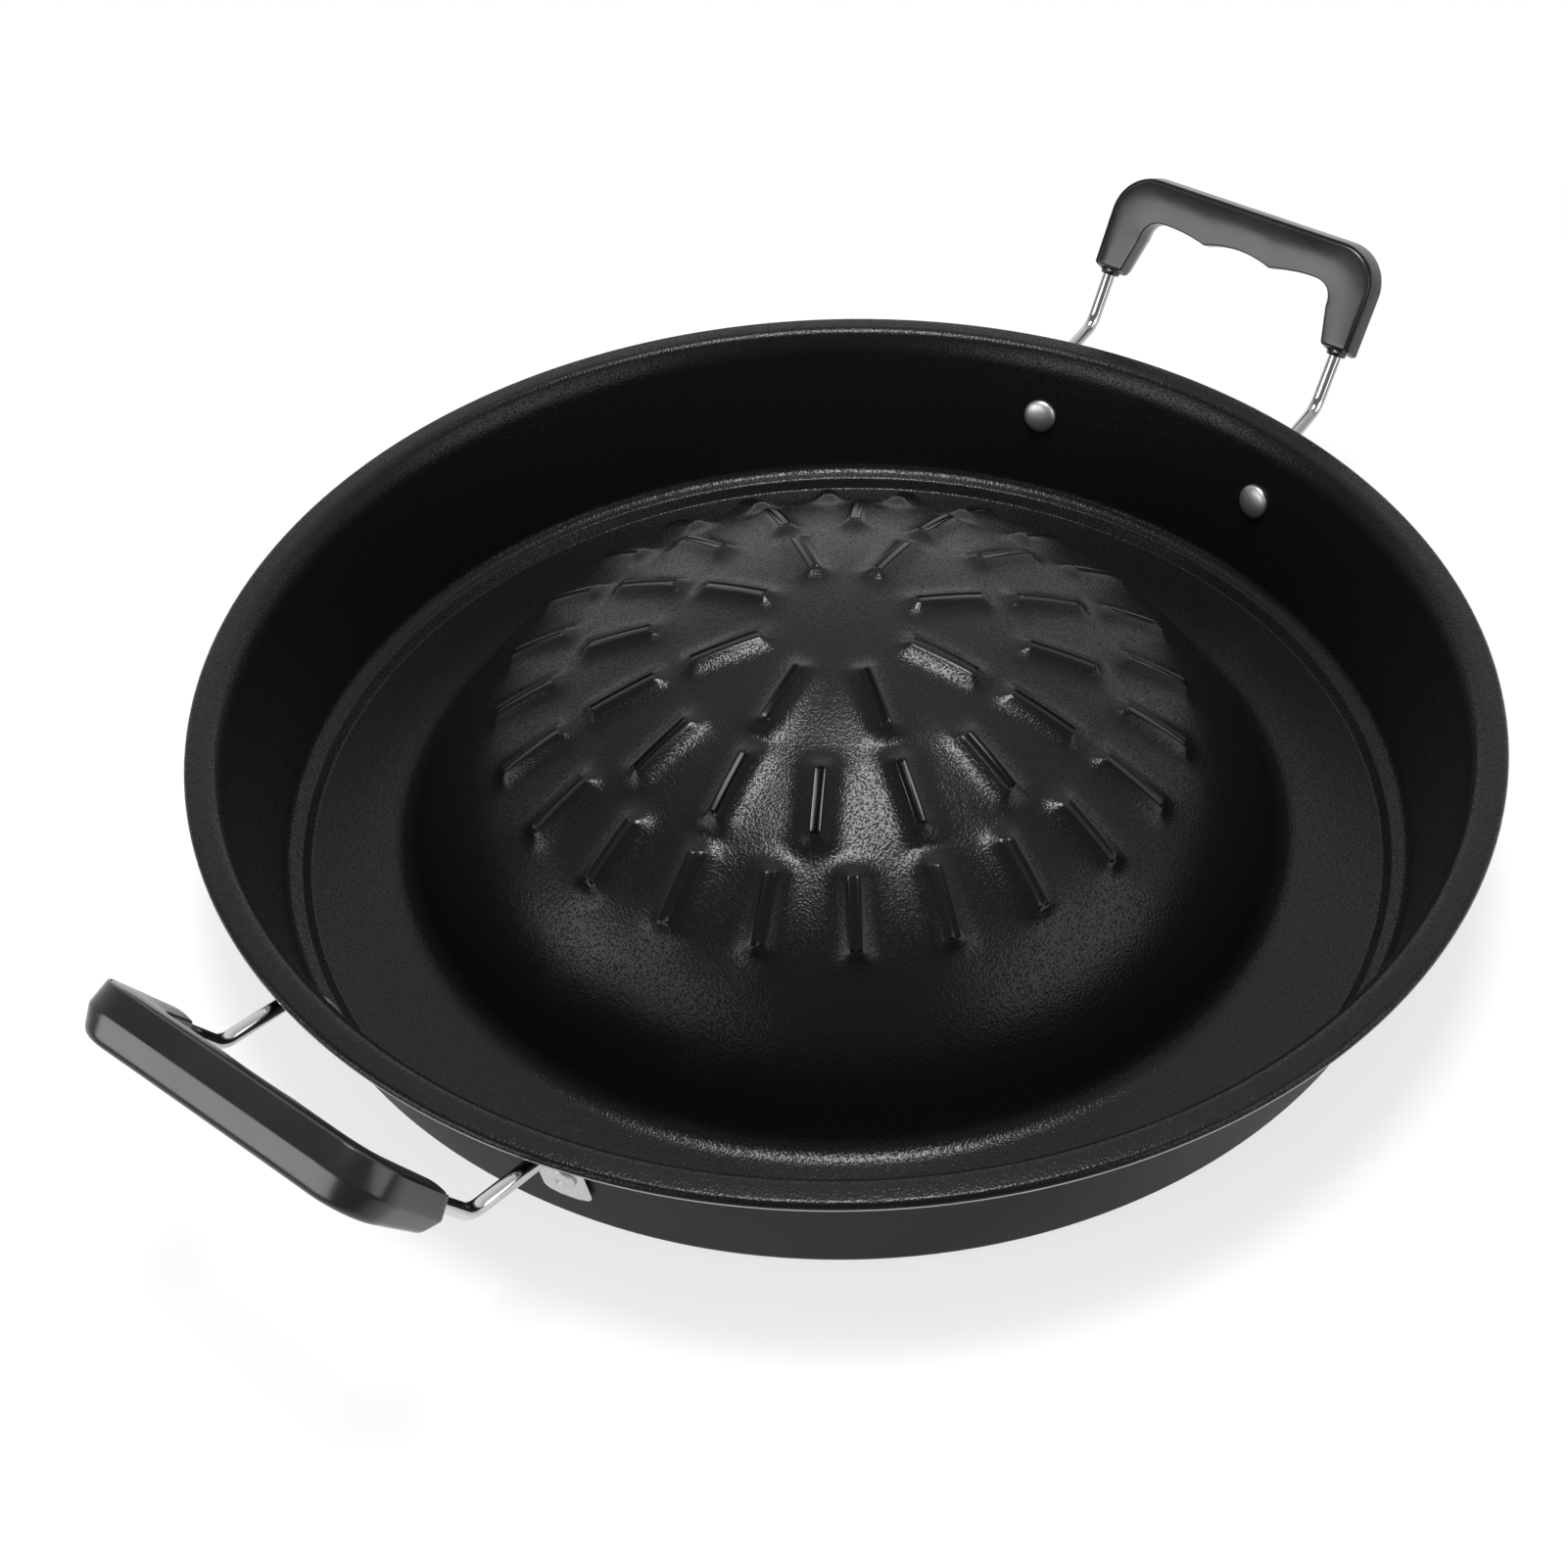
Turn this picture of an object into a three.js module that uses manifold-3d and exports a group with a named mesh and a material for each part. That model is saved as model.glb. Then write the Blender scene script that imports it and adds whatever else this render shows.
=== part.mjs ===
// A hot pot grill pan: one pressed steel sheet with a ribbed grilling dome inside a soup moat, and two wire
// handles, each riveted on by its flattened ends and carrying a moulded grip with three finger scallops.
// Millimetres and degrees, +Z up. The moat's underside stands on Z = 0, and the handles lie along X.

import * as THREE from "three";
import { mergeVertices } from "three/addons/utils/BufferGeometryUtils.js";
import Module from "manifold-3d";

const wasm = await Module();
wasm.setup();

// Clearance between pieces that touch
const FIT = 0.3;

// Pan: one sheet, pressed and coated; its widths run inwards from the rim's outer edge
const SHEET = 1.2;
const PAN_RADIUS = 175;
const PAN_HEIGHT = 51; // underside of the moat to the top of the rim
const RIM_WIDTH = 8.5; // flat rim, out from the corner where the wall's line meets it
const RIM_FILLET = 2.5;
const LIP_DROP = 2; // how far the rim's outer edge is turned down
const LIP_FILLET = 1.6;
const WALL_LEAN = 10.5; // how far the wall's foot stands in from its top
const WALL_FOOT_FILLET = 4;
const LEDGE_WIDTH = 4;
const LEDGE_RISE = 0.8; // the ledge climbs a little towards the wall
const STEP_RUN = 2.2;
const STEP_RISE = 2.9;
const STEP_FOOT_FILLET = 1;
const STEP_TOP_FILLET = 1.8;
const MOAT_WIDTH = 22.8; // flat floor between the dome's foot and the step

// Dome: a large cap, a rounder shoulder and a fillet down to the moat floor
const DOME_RISE = 69.1; // moat floor to the dome's crown
const DOME_CAP_SLOPE = 32.8; // slope where the cap meets the shoulder
const DOME_FLANK_SLOPE = 66.9; // slope where the shoulder meets the fillet
const DOME_FOOT_FILLET = 8;

// Grilling ribs, pressed up in three rings; places are measured along the dome's curve from its crown
const RIB_COUNTS = [8, 16, 24];
const RIB_FIRST_RING = 31;
const RIB_RING_STEP = 29;
const RIB_TURN = 9.6; // from the handles' axis to the line that all three rings share
const RIB_HEIGHT = 2.4;
const RIB_CREST_LENGTH = 18.4;
const RIB_CREST_WIDTH = 2.2;
const RIB_FLANK = 5.8; // how far the flanks spread on each side of the crest, down to their buried foot
const RIB_END_FLANK = 5; // the same at the crest's two ends
const RIB_FLARE_SHARE = 0.35; // the flank's steep upper part takes this share of its spread
const RIB_FLARE_HEIGHT = 0.9; // height above the dome where the flank starts to flare
const RIB_END_CUT = 0.8; // shares of a rib's half width: how far its rounded ends are cut back
const RIB_END_WIDTH = 0.4; // and how wide they stay

// Handle wire, bent from one rod; its drops are measured down from the top of the rim
const WIRE_DIAMETER = 4;
const LEG_SPACING = 80.8; // between the centres of a handle's two legs
const LEG_OUT = 12.1; // from the rim's outer edge to the corner of the leg's bend
const LEG_BEND_DROP = 4;
const LEG_BEND_RADIUS = 8;
const LEG_RISE = 18.6; // along the tilt, from the bend's corner to the grip's feet
const HANDLE_TILT = 58; // of the legs and the grip above level
const WALL_BEND_DROP = 8.4; // where the leg turns down along the wall
const WALL_BEND_RADIUS = 5;

// Flattened ends of the wire, and the rivets through them
const PADDLE_WIDTH = 12.7;
const PADDLE_END = 11; // from the rivet's centre down to the lower end
const PADDLE_CORNER = 3;
const PADDLE_SQUARENESS = 0.35; // power that squares the flattened section; 1 is an ellipse
const RIVET_DROP = 21;
const RIVET_SHANK = 4;
const RIVET_HEAD = 9.3;
const RIVET_HEAD_RISE = 2.6;
const RIVET_TAIL = 8;
const RIVET_TAIL_RISE = 1.5;
const RIVET_EDGE = 0.6; // upright edge of head and tail, under their domes

// Grip, one moulding round the wire. Its outline is that of the face towards the pan; behind the face the outer edge
// swells to a ridge, then all edges draw in to the back. Heights run along the tilt from the feet, leg widths from
// the wire's centre, and depths from the wire's plane towards the pan.
const GRIP_OUTSIDE = 4.7;
const GRIP_INSIDE_FOOT = 5;
const GRIP_INSIDE_TOP = 7.4;
const GRIP_CORNER = 12.5;
const GRIP_INNER_CORNER = 4;
const GRIP_CUSP_HEIGHT = 16.4; // of the points between the finger scallops
const GRIP_CUSP_SPACING = 22.8;
const GRIP_SCALLOP_DEPTH = 1.9;
const GRIP_BAR = 12.4; // from the deepest point of a scallop to the top
const GRIP_FACE_DEPTH = 4.2; // at the top
const GRIP_FACE_FOOT_DEPTH = 3.3;
const GRIP_RIDGE_DEPTH = -2.2;
const GRIP_BACK_DEPTH = -9; // at the top
const GRIP_BACK_FOOT_DEPTH = -7.2;
const GRIP_SWELL = 0.9; // of the outer edge, from the face to the ridge
const GRIP_DRAFT = 1.6; // how far the back's outer edge lies inside the face's
const GRIP_INNER_DRAFT = 1.2; // the same for the inner edge with the scallops
const GRIP_FOOT_BEVEL = 1.3; // how far the face stops short of the feet
const GRIP_BACK_BEVEL = 1.6; // the same for the back
const GRIP_WIRE_CORNER = 8;

// Facets
const PAN_SEGMENTS = 48;
const WIRE_SIDES = 10;
const BEND_STEPS = 4;
const RIVET_SEGMENTS = 12;
const RIVET_DOME_ANGLES = [50];
const CURVE_STEPS = 5;
const WELD = 1e-4;
const SAME_POINT = 0.01;
const QUARTER_TURN = 90;
const FULL_TURN = 360;

// Finishes
const coating = new THREE.MeshStandardMaterial({ color: 0x17181a, roughness: 0.42, metalness: 0.0 });
const chrome = new THREE.MeshStandardMaterial({ color: 0xd4d6d8, roughness: 0.14, metalness: 1.0 });
const satinSteel = new THREE.MeshStandardMaterial({ color: 0xb9babc, roughness: 0.38, metalness: 1.0 });
const phenolic = new THREE.MeshStandardMaterial({ color: 0x141414, roughness: 0.3, metalness: 0.0 });

const radians = THREE.MathUtils.degToRad;
const degrees = THREE.MathUtils.radToDeg;

// A closed geometry as a solid that can be joined and cut
function solid(geometry) {
  const bare = geometry.clone();
  bare.deleteAttribute("normal");
  bare.deleteAttribute("uv");
  const merged = mergeVertices(bare, WELD);
  const index = merged.index.array;
  const triangles = [];
  for (let i = 0; i < index.length; i += 3) {
    const [a, b, c] = [index[i], index[i + 1], index[i + 2]];
    if (a !== b && b !== c && c !== a) triangles.push(a, b, c);
  }
  const vertProperties = new Float32Array(merged.attributes.position.array);
  return new wasm.Manifold(new wasm.Mesh({ numProp: 3, vertProperties, triVerts: new Uint32Array(triangles) }));
}

// A named mesh of a solid
function piece(name, body, material) {
  const { vertProperties, triVerts } = body.getMesh();
  const geometry = new THREE.BufferGeometry();
  geometry.setAttribute("position", new THREE.Float32BufferAttribute(vertProperties, 3));
  geometry.setIndex(new THREE.Uint32BufferAttribute(triVerts, 1));
  geometry.computeVertexNormals();
  const made = new THREE.Mesh(geometry, material);
  made.name = name;
  return made;
}

// Triangles that fill a convex ring of so many points
function fan(count) {
  return Array.from({ length: count - 2 }, (_, i) => [0, i + 1, i + 2]);
}

// A closed skin over rings of equally many points; each ring runs anticlockwise seen from the next. The triangles
// that close the first and the last ring are given, or fans do it.
function loft(rings, firstCap = fan(rings[0].length), lastCap = firstCap) {
  const count = rings[0].length;
  const positions = rings.flat().flatMap((point) => point.toArray());
  const index = [];
  for (let ring = 0; ring + 1 < rings.length; ring++) {
    for (let side = 0; side < count; side++) {
      const a = ring * count + side;
      const b = ring * count + ((side + 1) % count);
      index.push(a, b, a + count, b, b + count, a + count);
    }
  }
  const last = (rings.length - 1) * count;
  for (const [a, b, c] of firstCap) index.push(a, c, b);
  for (const [a, b, c] of lastCap) index.push(last + a, last + b, last + c);
  const geometry = new THREE.BufferGeometry();
  geometry.setAttribute("position", new THREE.Float32BufferAttribute(positions, 3));
  geometry.setIndex(index);
  return geometry;
}

// Unit vector at an angle
function heading(angle) {
  return new THREE.Vector2(Math.cos(radians(angle)), Math.sin(radians(angle)));
}

// Radii of the pan's corners, from the rim inwards, and the heights they stand at
const rimInner = PAN_RADIUS - RIM_WIDTH;
const wallFoot = new THREE.Vector2(rimInner - WALL_LEAN, SHEET + STEP_RISE + LEDGE_RISE);
const stepTop = new THREE.Vector2(wallFoot.x - LEDGE_WIDTH, SHEET + STEP_RISE);
const stepFoot = new THREE.Vector2(stepTop.x - STEP_RUN, SHEET);
const domeFoot = new THREE.Vector2(stepFoot.x - MOAT_WIDTH, SHEET);

// The dome's cooking side as three arcs from the crown outwards. An arc turns left (1) or right (-1) from one
// heading to another. The radii of cap and shoulder are those that reach the foot at the stated rise and slopes.
function domeArcs() {
  const [cap, flank] = [heading(DOME_CAP_SLOPE), heading(DOME_FLANK_SLOPE)];
  const out = domeFoot.x - DOME_FOOT_FILLET * flank.y;
  const down = DOME_RISE - DOME_FOOT_FILLET * (1 - flank.x);
  const [shoulderOut, shoulderDown] = [flank.y - cap.y, cap.x - flank.x];
  const [capOut, capDown] = [cap.y, 1 - cap.x];
  const scale = capOut * shoulderDown - shoulderOut * capDown;
  const capRadius = (out * shoulderDown - shoulderOut * down) / scale;
  const shoulderRadius = (capOut * down - capDown * out) / scale;
  const crown = new THREE.Vector2(0, SHEET + DOME_RISE - capRadius);
  const shoulder = crown.clone().addScaledVector(new THREE.Vector2(cap.y, cap.x), capRadius - shoulderRadius);
  const foot = new THREE.Vector2(domeFoot.x, domeFoot.y + DOME_FOOT_FILLET);
  const [capEnd, shoulderEnd] = [-DOME_CAP_SLOPE, -DOME_FLANK_SLOPE];
  return [
    { centre: crown, radius: capRadius, turn: -1, from: 0, to: capEnd, steps: 5 },
    { centre: shoulder, radius: shoulderRadius, turn: -1, from: capEnd, to: shoulderEnd, steps: 3 },
    { centre: foot, radius: DOME_FOOT_FILLET, turn: 1, from: shoulderEnd, to: 0, steps: 3 },
  ];
}

// The rest of the cooking side, from the moat floor to the lip: a fillet at each corner of the sheet
function bowlArcs() {
  const corners = [
    { at: domeFoot },
    { at: stepFoot, fillet: STEP_FOOT_FILLET, steps: 1 },
    { at: stepTop, fillet: STEP_TOP_FILLET, steps: 1 },
    { at: wallFoot, fillet: WALL_FOOT_FILLET, steps: 2 },
    { at: new THREE.Vector2(rimInner, PAN_HEIGHT), fillet: RIM_FILLET, steps: 2 },
    { at: new THREE.Vector2(PAN_RADIUS, PAN_HEIGHT), fillet: LIP_FILLET, steps: 2 },
    { at: new THREE.Vector2(PAN_RADIUS, PAN_HEIGHT - LIP_DROP) },
  ];
  const arcs = [];
  for (let i = 1; i + 1 < corners.length; i++) {
    const { at, fillet, steps } = corners[i];
    const before = at.clone().sub(corners[i - 1].at);
    const after = corners[i + 1].at.clone().sub(at);
    const from = degrees(Math.atan2(before.y, before.x));
    const to = degrees(Math.atan2(after.y, after.x));
    const turn = Math.sign(to - from);
    const tangent = fillet * Math.tan(radians(Math.abs(to - from) / 2));
    const centre = at.clone().addScaledVector(heading(from), -tangent);
    centre.addScaledVector(heading(from + QUARTER_TURN), turn * fillet);
    arcs.push({ centre, radius: fillet, turn, from, to, steps });
  }
  return arcs;
}

const dome = domeArcs();

// Points of the sheet's face that lies a depth below the cooking side, from the crown to the lip's edge
function panFace(depth) {
  const points = [];
  for (const { centre, radius, turn, from, to, steps } of [...dome, ...bowlArcs()]) {
    for (let i = 0; i <= steps; i++) {
      const outwards = heading(from + ((to - from) * i) / steps - QUARTER_TURN * turn);
      points.push(centre.clone().addScaledVector(outwards, radius + turn * depth));
    }
  }
  points.push(new THREE.Vector2(PAN_RADIUS - depth, PAN_HEIGHT - LIP_DROP));
  points[0].x = 0;
  return points.filter((point, i) => i === 0 || point.distanceTo(points[i - 1]) > SAME_POINT);
}

// A point near the dome: distance along its curve from the crown, sideways distance and height above the skin
function onDome(distance, sideways, height, azimuth) {
  const [cap, shoulder] = dome;
  const capLength = radians(DOME_CAP_SLOPE) * cap.radius;
  const beyond = Math.max(distance - capLength, 0);
  const { centre, radius } = beyond > 0 ? shoulder : cap;
  const slope = degrees((distance - beyond) / cap.radius + beyond / shoulder.radius);
  const { x, y } = centre.clone().addScaledVector(heading(QUARTER_TURN - slope), radius + height);
  const out = heading(azimuth);
  return new THREE.Vector3(x * out.x - sideways * out.y, x * out.y + sideways * out.x, y);
}

// One ring of a rib at a share of its flanks' spread, from 0 at the crest to 1 at the buried foot: a long shape
// round the rib's middle, whose cut-back ends keep a share of its width
function ribRing(middle, azimuth, spread, height, endWidth) {
  const halfLength = RIB_CREST_LENGTH / 2 + RIB_END_FLANK * spread;
  const halfWidth = RIB_CREST_WIDTH / 2 + RIB_FLANK * spread;
  const quarter = [
    [halfLength, halfWidth * endWidth],
    [halfLength - halfWidth * RIB_END_CUT, halfWidth],
  ];
  const half = [...quarter, ...quarter.toReversed().map(([x, y]) => [-x, y])];
  const outline = [...half, ...half.toReversed().map(([x, y]) => [x, -y])];
  return outline.map(([x, y]) => onDome(middle + x, y, height, azimuth));
}

// A rib's raised form: narrow flat crest, steep upper flanks and flaring lower ones
function raisedRib(middle, azimuth) {
  const levels = [
    [1, -SHEET / 2],
    [RIB_FLARE_SHARE, RIB_FLARE_HEIGHT],
    [0, RIB_HEIGHT],
  ];
  const rings = levels.map(([spread, height]) => ribRing(middle, azimuth, spread, height, RIB_END_WIDTH));
  return solid(loft(rings));
}

// The hollow that the press leaves under a rib: straight flanks, pointed ends, and the sheet's thickness above it
function ribHollow(middle, azimuth) {
  const levels = [
    [1, -2 * SHEET],
    [0, RIB_HEIGHT - SHEET],
  ];
  return solid(loft(levels.map(([spread, height]) => ribRing(middle, azimuth, spread, height, 0))));
}

// Directions along the wall, up it and square out of it, in a radial section
const wallUp = new THREE.Vector2(rimInner, PAN_HEIGHT).sub(wallFoot).normalize();
const wallOut = new THREE.Vector2(wallUp.y, -wallUp.x);

// A point of a radial section, swung round to an azimuth in radians
function swung({ x, y }, azimuth) {
  return new THREE.Vector3(x * Math.cos(azimuth), x * Math.sin(azimuth), y);
}

// Point of a radial section at a drop below the rim, a distance outwards from the wall's inner face
function offWall(drop, outwards) {
  const face = wallFoot.clone().addScaledVector(wallOut, outwards);
  return face.addScaledVector(wallUp, (PAN_HEIGHT - drop - face.y) / wallUp.y);
}

// Wire: its radius, the thickness of its flattened ends and the azimuth where those lie on the wall
const wireRadius = WIRE_DIAMETER / 2;
const paddleThickness = (Math.PI * wireRadius ** 2) / PADDLE_WIDTH;
const wallGap = SHEET + FIT;
const legSide = LEG_SPACING / 2;
const wallBend = offWall(WALL_BEND_DROP, wallGap + wireRadius);
const paddleAzimuth = Math.asin(legSide / wallBend.x);

// A turned form on a rivet's axis, from points of radius and distance outwards from the wall's inner face
function onRivetAxis(points, azimuth) {
  const profile = points.map(([radius, out]) => new THREE.Vector2(radius, out));
  const turned = new THREE.LatheGeometry(profile, RIVET_SEGMENTS).rotateX(radians(QUARTER_TURN));
  const aim = new THREE.Quaternion().setFromUnitVectors(new THREE.Vector3(0, 0, 1), swung(wallOut, azimuth));
  turned.applyQuaternion(aim);
  return solid(turned.translate(...swung(offWall(RIVET_DROP, 0), azimuth).toArray()));
}

// A rivet: domed head inside the wall, shank, and a lower domed tail over the flattened wire. The head's seat
// allows for the wall's facets, which stand in from its true curve.
function rivet(azimuth) {
  const [shank, head, tail] = [RIVET_SHANK / 2, RIVET_HEAD / 2, RIVET_TAIL / 2];
  const facetSag = rimInner * (1 - Math.cos(radians(FULL_TURN / PAN_SEGMENTS / 2)));
  const headSeat = -FIT - facetSag;
  const tailSeat = wallGap + paddleThickness + FIT;
  const domed = (radius, rise, angle) => {
    const { x, y } = heading(angle);
    return [radius * x, RIVET_EDGE + (rise - RIVET_EDGE) * y];
  };
  const headDome = RIVET_DOME_ANGLES.map((angle) => domed(head, RIVET_HEAD_RISE, angle));
  const tailDome = RIVET_DOME_ANGLES.map((angle) => domed(tail, RIVET_TAIL_RISE, angle));
  const points = [
    [0, headSeat - RIVET_HEAD_RISE],
    ...headDome.map(([radius, rise]) => [radius, headSeat - rise]),
    [head, headSeat - RIVET_EDGE],
    [head, headSeat],
    [shank, headSeat],
    [shank, tailSeat],
    [tail, tailSeat],
    [tail, tailSeat + RIVET_EDGE],
    ...tailDome.toReversed().map(([radius, rise]) => [radius, tailSeat + rise]),
    [0, tailSeat + RIVET_TAIL_RISE],
  ];
  return onRivetAxis(points, azimuth);
}

// A straight bore on a rivet's axis that clears its shank
function rivetBore(azimuth) {
  const radius = RIVET_SHANK / 2 + FIT;
  const far = RIVET_HEAD;
  return onRivetAxis([[0, -far], [radius, -far], [radius, far], [0, far]], azimuth);
}

function panBody(rivetAzimuths) {
  const profile = [...panFace(SHEET), ...panFace(0).toReversed()];
  const facetStart = radians(RIB_TURN + QUARTER_TURN); // the facets' edges run along the ribs
  const turned = new THREE.LatheGeometry(profile, PAN_SEGMENTS, facetStart).rotateX(radians(QUARTER_TURN));
  let body = solid(turned);
  RIB_COUNTS.forEach((count, ring) => {
    const middle = RIB_FIRST_RING + ring * RIB_RING_STEP;
    for (let i = 0; i < count; i++) {
      const azimuth = RIB_TURN + (FULL_TURN * i) / count;
      body = body.add(raisedRib(middle, azimuth)).subtract(ribHollow(middle, azimuth));
    }
  });
  for (const azimuth of rivetAzimuths) body = body.subtract(rivetBore(azimuth));
  return body;
}

// Stations of a bend between two straight stretches, each with its place and direction
function bend(before, corner, after, radius) {
  const coming = corner.clone().sub(before).normalize();
  const going = after.clone().sub(corner).normalize();
  const turn = coming.angleTo(going);
  const axis = coming.clone().cross(going).normalize();
  const start = corner.clone().addScaledVector(coming, -radius * Math.tan(turn / 2));
  const centre = start.clone().addScaledVector(axis.clone().cross(coming), radius);
  const stations = [];
  for (let i = 0; i <= BEND_STEPS; i++) {
    const angle = (turn * i) / BEND_STEPS;
    const at = start.clone().sub(centre).applyAxisAngle(axis, angle).add(centre);
    stations.push({ at, along: coming.clone().applyAxisAngle(axis, angle) });
  }
  return stations;
}

// Handle's tilted plane: the direction up along it, and the wire's corners in it
const scallopTop = GRIP_CUSP_HEIGHT + GRIP_SCALLOP_DEPTH;
const gripTop = scallopTop + GRIP_BAR;
const tiltUp = new THREE.Vector3(heading(HANDLE_TILT).x, 0, heading(HANDLE_TILT).y);
const legCorner = new THREE.Vector3(PAN_RADIUS + LEG_OUT, legSide, PAN_HEIGHT - LEG_BEND_DROP);
const barCorner = legCorner.clone().addScaledVector(tiltUp, LEG_RISE + scallopTop + GRIP_BAR / 2);

// Half of a handle's wire, from the flattened end's lower edge to the middle of the grip's bar. Each station has
// its place, direction, half sizes and squareness. The stations from `leg` on are the straight leg and the bar.
function halfWire() {
  const wallCorner = swung(wallBend, paddleAzimuth);
  const middle = barCorner.clone().setY(0);
  const upWall = swung(wallUp, paddleAzimuth);
  const atWall = bend(wallCorner.clone().sub(upWall), wallCorner, legCorner, WALL_BEND_RADIUS);
  const atLeg = bend(wallCorner, legCorner, barCorner, LEG_BEND_RADIUS);
  const atBar = bend(legCorner, barCorner, middle, GRIP_WIRE_CORNER);
  const bends = [...atWall, ...atLeg, ...atBar, { at: middle, along: new THREE.Vector3(0, -1, 0) }];
  const plain = bends.map((station) => ({ ...station, wide: wireRadius, thick: wireRadius, power: 1 }));

  // The flattened end keeps the rod's area: flat past the rivet's tail, and round again where the bend starts
  const full = PADDLE_WIDTH / 2;
  const thin = paddleThickness / 2;
  const lowest = RIVET_DROP + PADDLE_END;
  const length = (lowest - (PAN_HEIGHT - atWall[0].at.z)) / upWall.z;
  const flatEnd = PADDLE_END / upWall.z + RIVET_TAIL / 2 + 2 * FIT;
  const halfWay = (full + wireRadius) / 2;
  const corner = (angle) => {
    const { x, y } = heading(angle);
    return { from: PADDLE_CORNER * (1 - x), wide: full - PADDLE_CORNER * (1 - y), thick: thin };
  };
  const sections = [
    corner(0),
    corner(QUARTER_TURN / 2),
    corner(QUARTER_TURN),
    { from: flatEnd, wide: full, thick: thin },
    { from: (flatEnd + length) / 2, wide: halfWay, thick: wireRadius ** 2 / halfWay },
  ];
  const flat = sections.map(({ from, wide, thick }) => {
    const at = swung(offWall(lowest - from * upWall.z, wallGap + thick), paddleAzimuth);
    return { at, along: upWall, wide, thick, power: PADDLE_SQUARENESS };
  });

  // A sideways direction is carried along the stations without twist
  const stations = [...flat, ...plain];
  const across = new THREE.Vector3(-Math.sin(paddleAzimuth), Math.cos(paddleAzimuth), 0);
  stations.forEach((station, i) => {
    const previous = stations[Math.max(i - 1, 0)].along;
    across.applyQuaternion(new THREE.Quaternion().setFromUnitVectors(previous, station.along));
    station.across = across.clone();
  });
  return { stations, leg: flat.length + atWall.length + atLeg.length - 1 };
}

// A closed wire from half its stations and their mirror images, grown by a clearance
function wireFrom(stations, clearance) {
  const rings = stations.map(({ at, along, across, wide, thick, power }) => {
    const up = along.clone().cross(across);
    const squared = (value) => Math.sign(value) * Math.abs(value) ** power;
    return Array.from({ length: WIRE_SIDES }, (_, side) => {
      const { x, y } = heading((FULL_TURN * side) / WIRE_SIDES);
      const point = at.clone().addScaledVector(across, (wide + clearance) * squared(x));
      return point.addScaledVector(up, (thick + clearance) * squared(y));
    });
  });
  const mirrored = rings.slice(0, -1).map((ring) => ring.map(({ x, y, z }) => new THREE.Vector3(x, -y, z)));
  return solid(loft([...rings, ...mirrored.toReversed()]));
}

// An outline of the grip: outer corners rounded, feet below at a height, and three finger scallops along the inner
// edge. Its outer and inner edges lie outside the face's by two distances.
function gripOutline(outer, inner, footHeight) {
  const side = legSide + GRIP_OUTSIDE + outer;
  const corner = GRIP_CORNER + outer;
  const cornerHeight = gripTop - GRIP_CORNER;
  const footInside = legSide - GRIP_INSIDE_FOOT - inner;
  const inside = legSide - GRIP_INSIDE_TOP - inner;
  const level = GRIP_CUSP_HEIGHT - inner;
  const cusp = GRIP_CUSP_SPACING / 2;
  const last = inside - GRIP_INNER_CORNER;
  const shape = new THREE.Shape();
  const scallop = (from, to) => {
    shape.quadraticCurveTo((from + to) / 2, level + 2 * GRIP_SCALLOP_DEPTH, to, level);
  };
  shape.moveTo(side, footHeight);
  shape.lineTo(side, cornerHeight);
  shape.absarc(side - corner, cornerHeight, corner, 0, Math.PI / 2);
  shape.absarc(corner - side, cornerHeight, corner, Math.PI / 2, Math.PI);
  shape.lineTo(-side, footHeight);
  shape.lineTo(-footInside, footHeight);
  shape.lineTo(-inside, level - GRIP_INNER_CORNER);
  shape.quadraticCurveTo(-inside, level, -last, level);
  scallop(-last, -cusp);
  scallop(-cusp, cusp);
  scallop(cusp, last);
  shape.quadraticCurveTo(inside, level, inside, level - GRIP_INNER_CORNER);
  shape.lineTo(footInside, footHeight);
  return shape.getPoints(CURVE_STEPS);
}

// A grip: a skin over its back, ridge and face outlines, with a channel for the wire
function grip(wire) {
  const sideways = new THREE.Vector3(0, -1, 0);
  const inwards = sideways.clone().cross(tiltUp);
  const feet = legCorner.clone().setY(0).addScaledVector(tiltUp, LEG_RISE);
  const ring = (outline, footDepth, topDepth) =>
    outline.map(({ x, y }) => {
      const depth = footDepth + ((topDepth - footDepth) * y) / gripTop;
      const level = feet.clone().addScaledVector(inwards, depth);
      return level.addScaledVector(sideways, x).addScaledVector(tiltUp, y);
    });
  const back = gripOutline(-GRIP_DRAFT, -GRIP_INNER_DRAFT, GRIP_BACK_BEVEL);
  const ridge = gripOutline(GRIP_SWELL, 0, 0);
  const face = gripOutline(0, 0, GRIP_FOOT_BEVEL);
  const rings = [
    ring(back, GRIP_BACK_FOOT_DEPTH, GRIP_BACK_DEPTH),
    ring(ridge, GRIP_RIDGE_DEPTH, GRIP_RIDGE_DEPTH),
    ring(face, GRIP_FACE_FOOT_DEPTH, GRIP_FACE_DEPTH),
  ];
  const [backCap, faceCap] = [back, face].map((outline) => THREE.ShapeUtils.triangulateShape(outline, []));
  const shaped = solid(loft(rings, backCap, faceCap));
  return shaped.subtract(wireFrom(wire.stations.slice(wire.leg), FIT));
}

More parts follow.
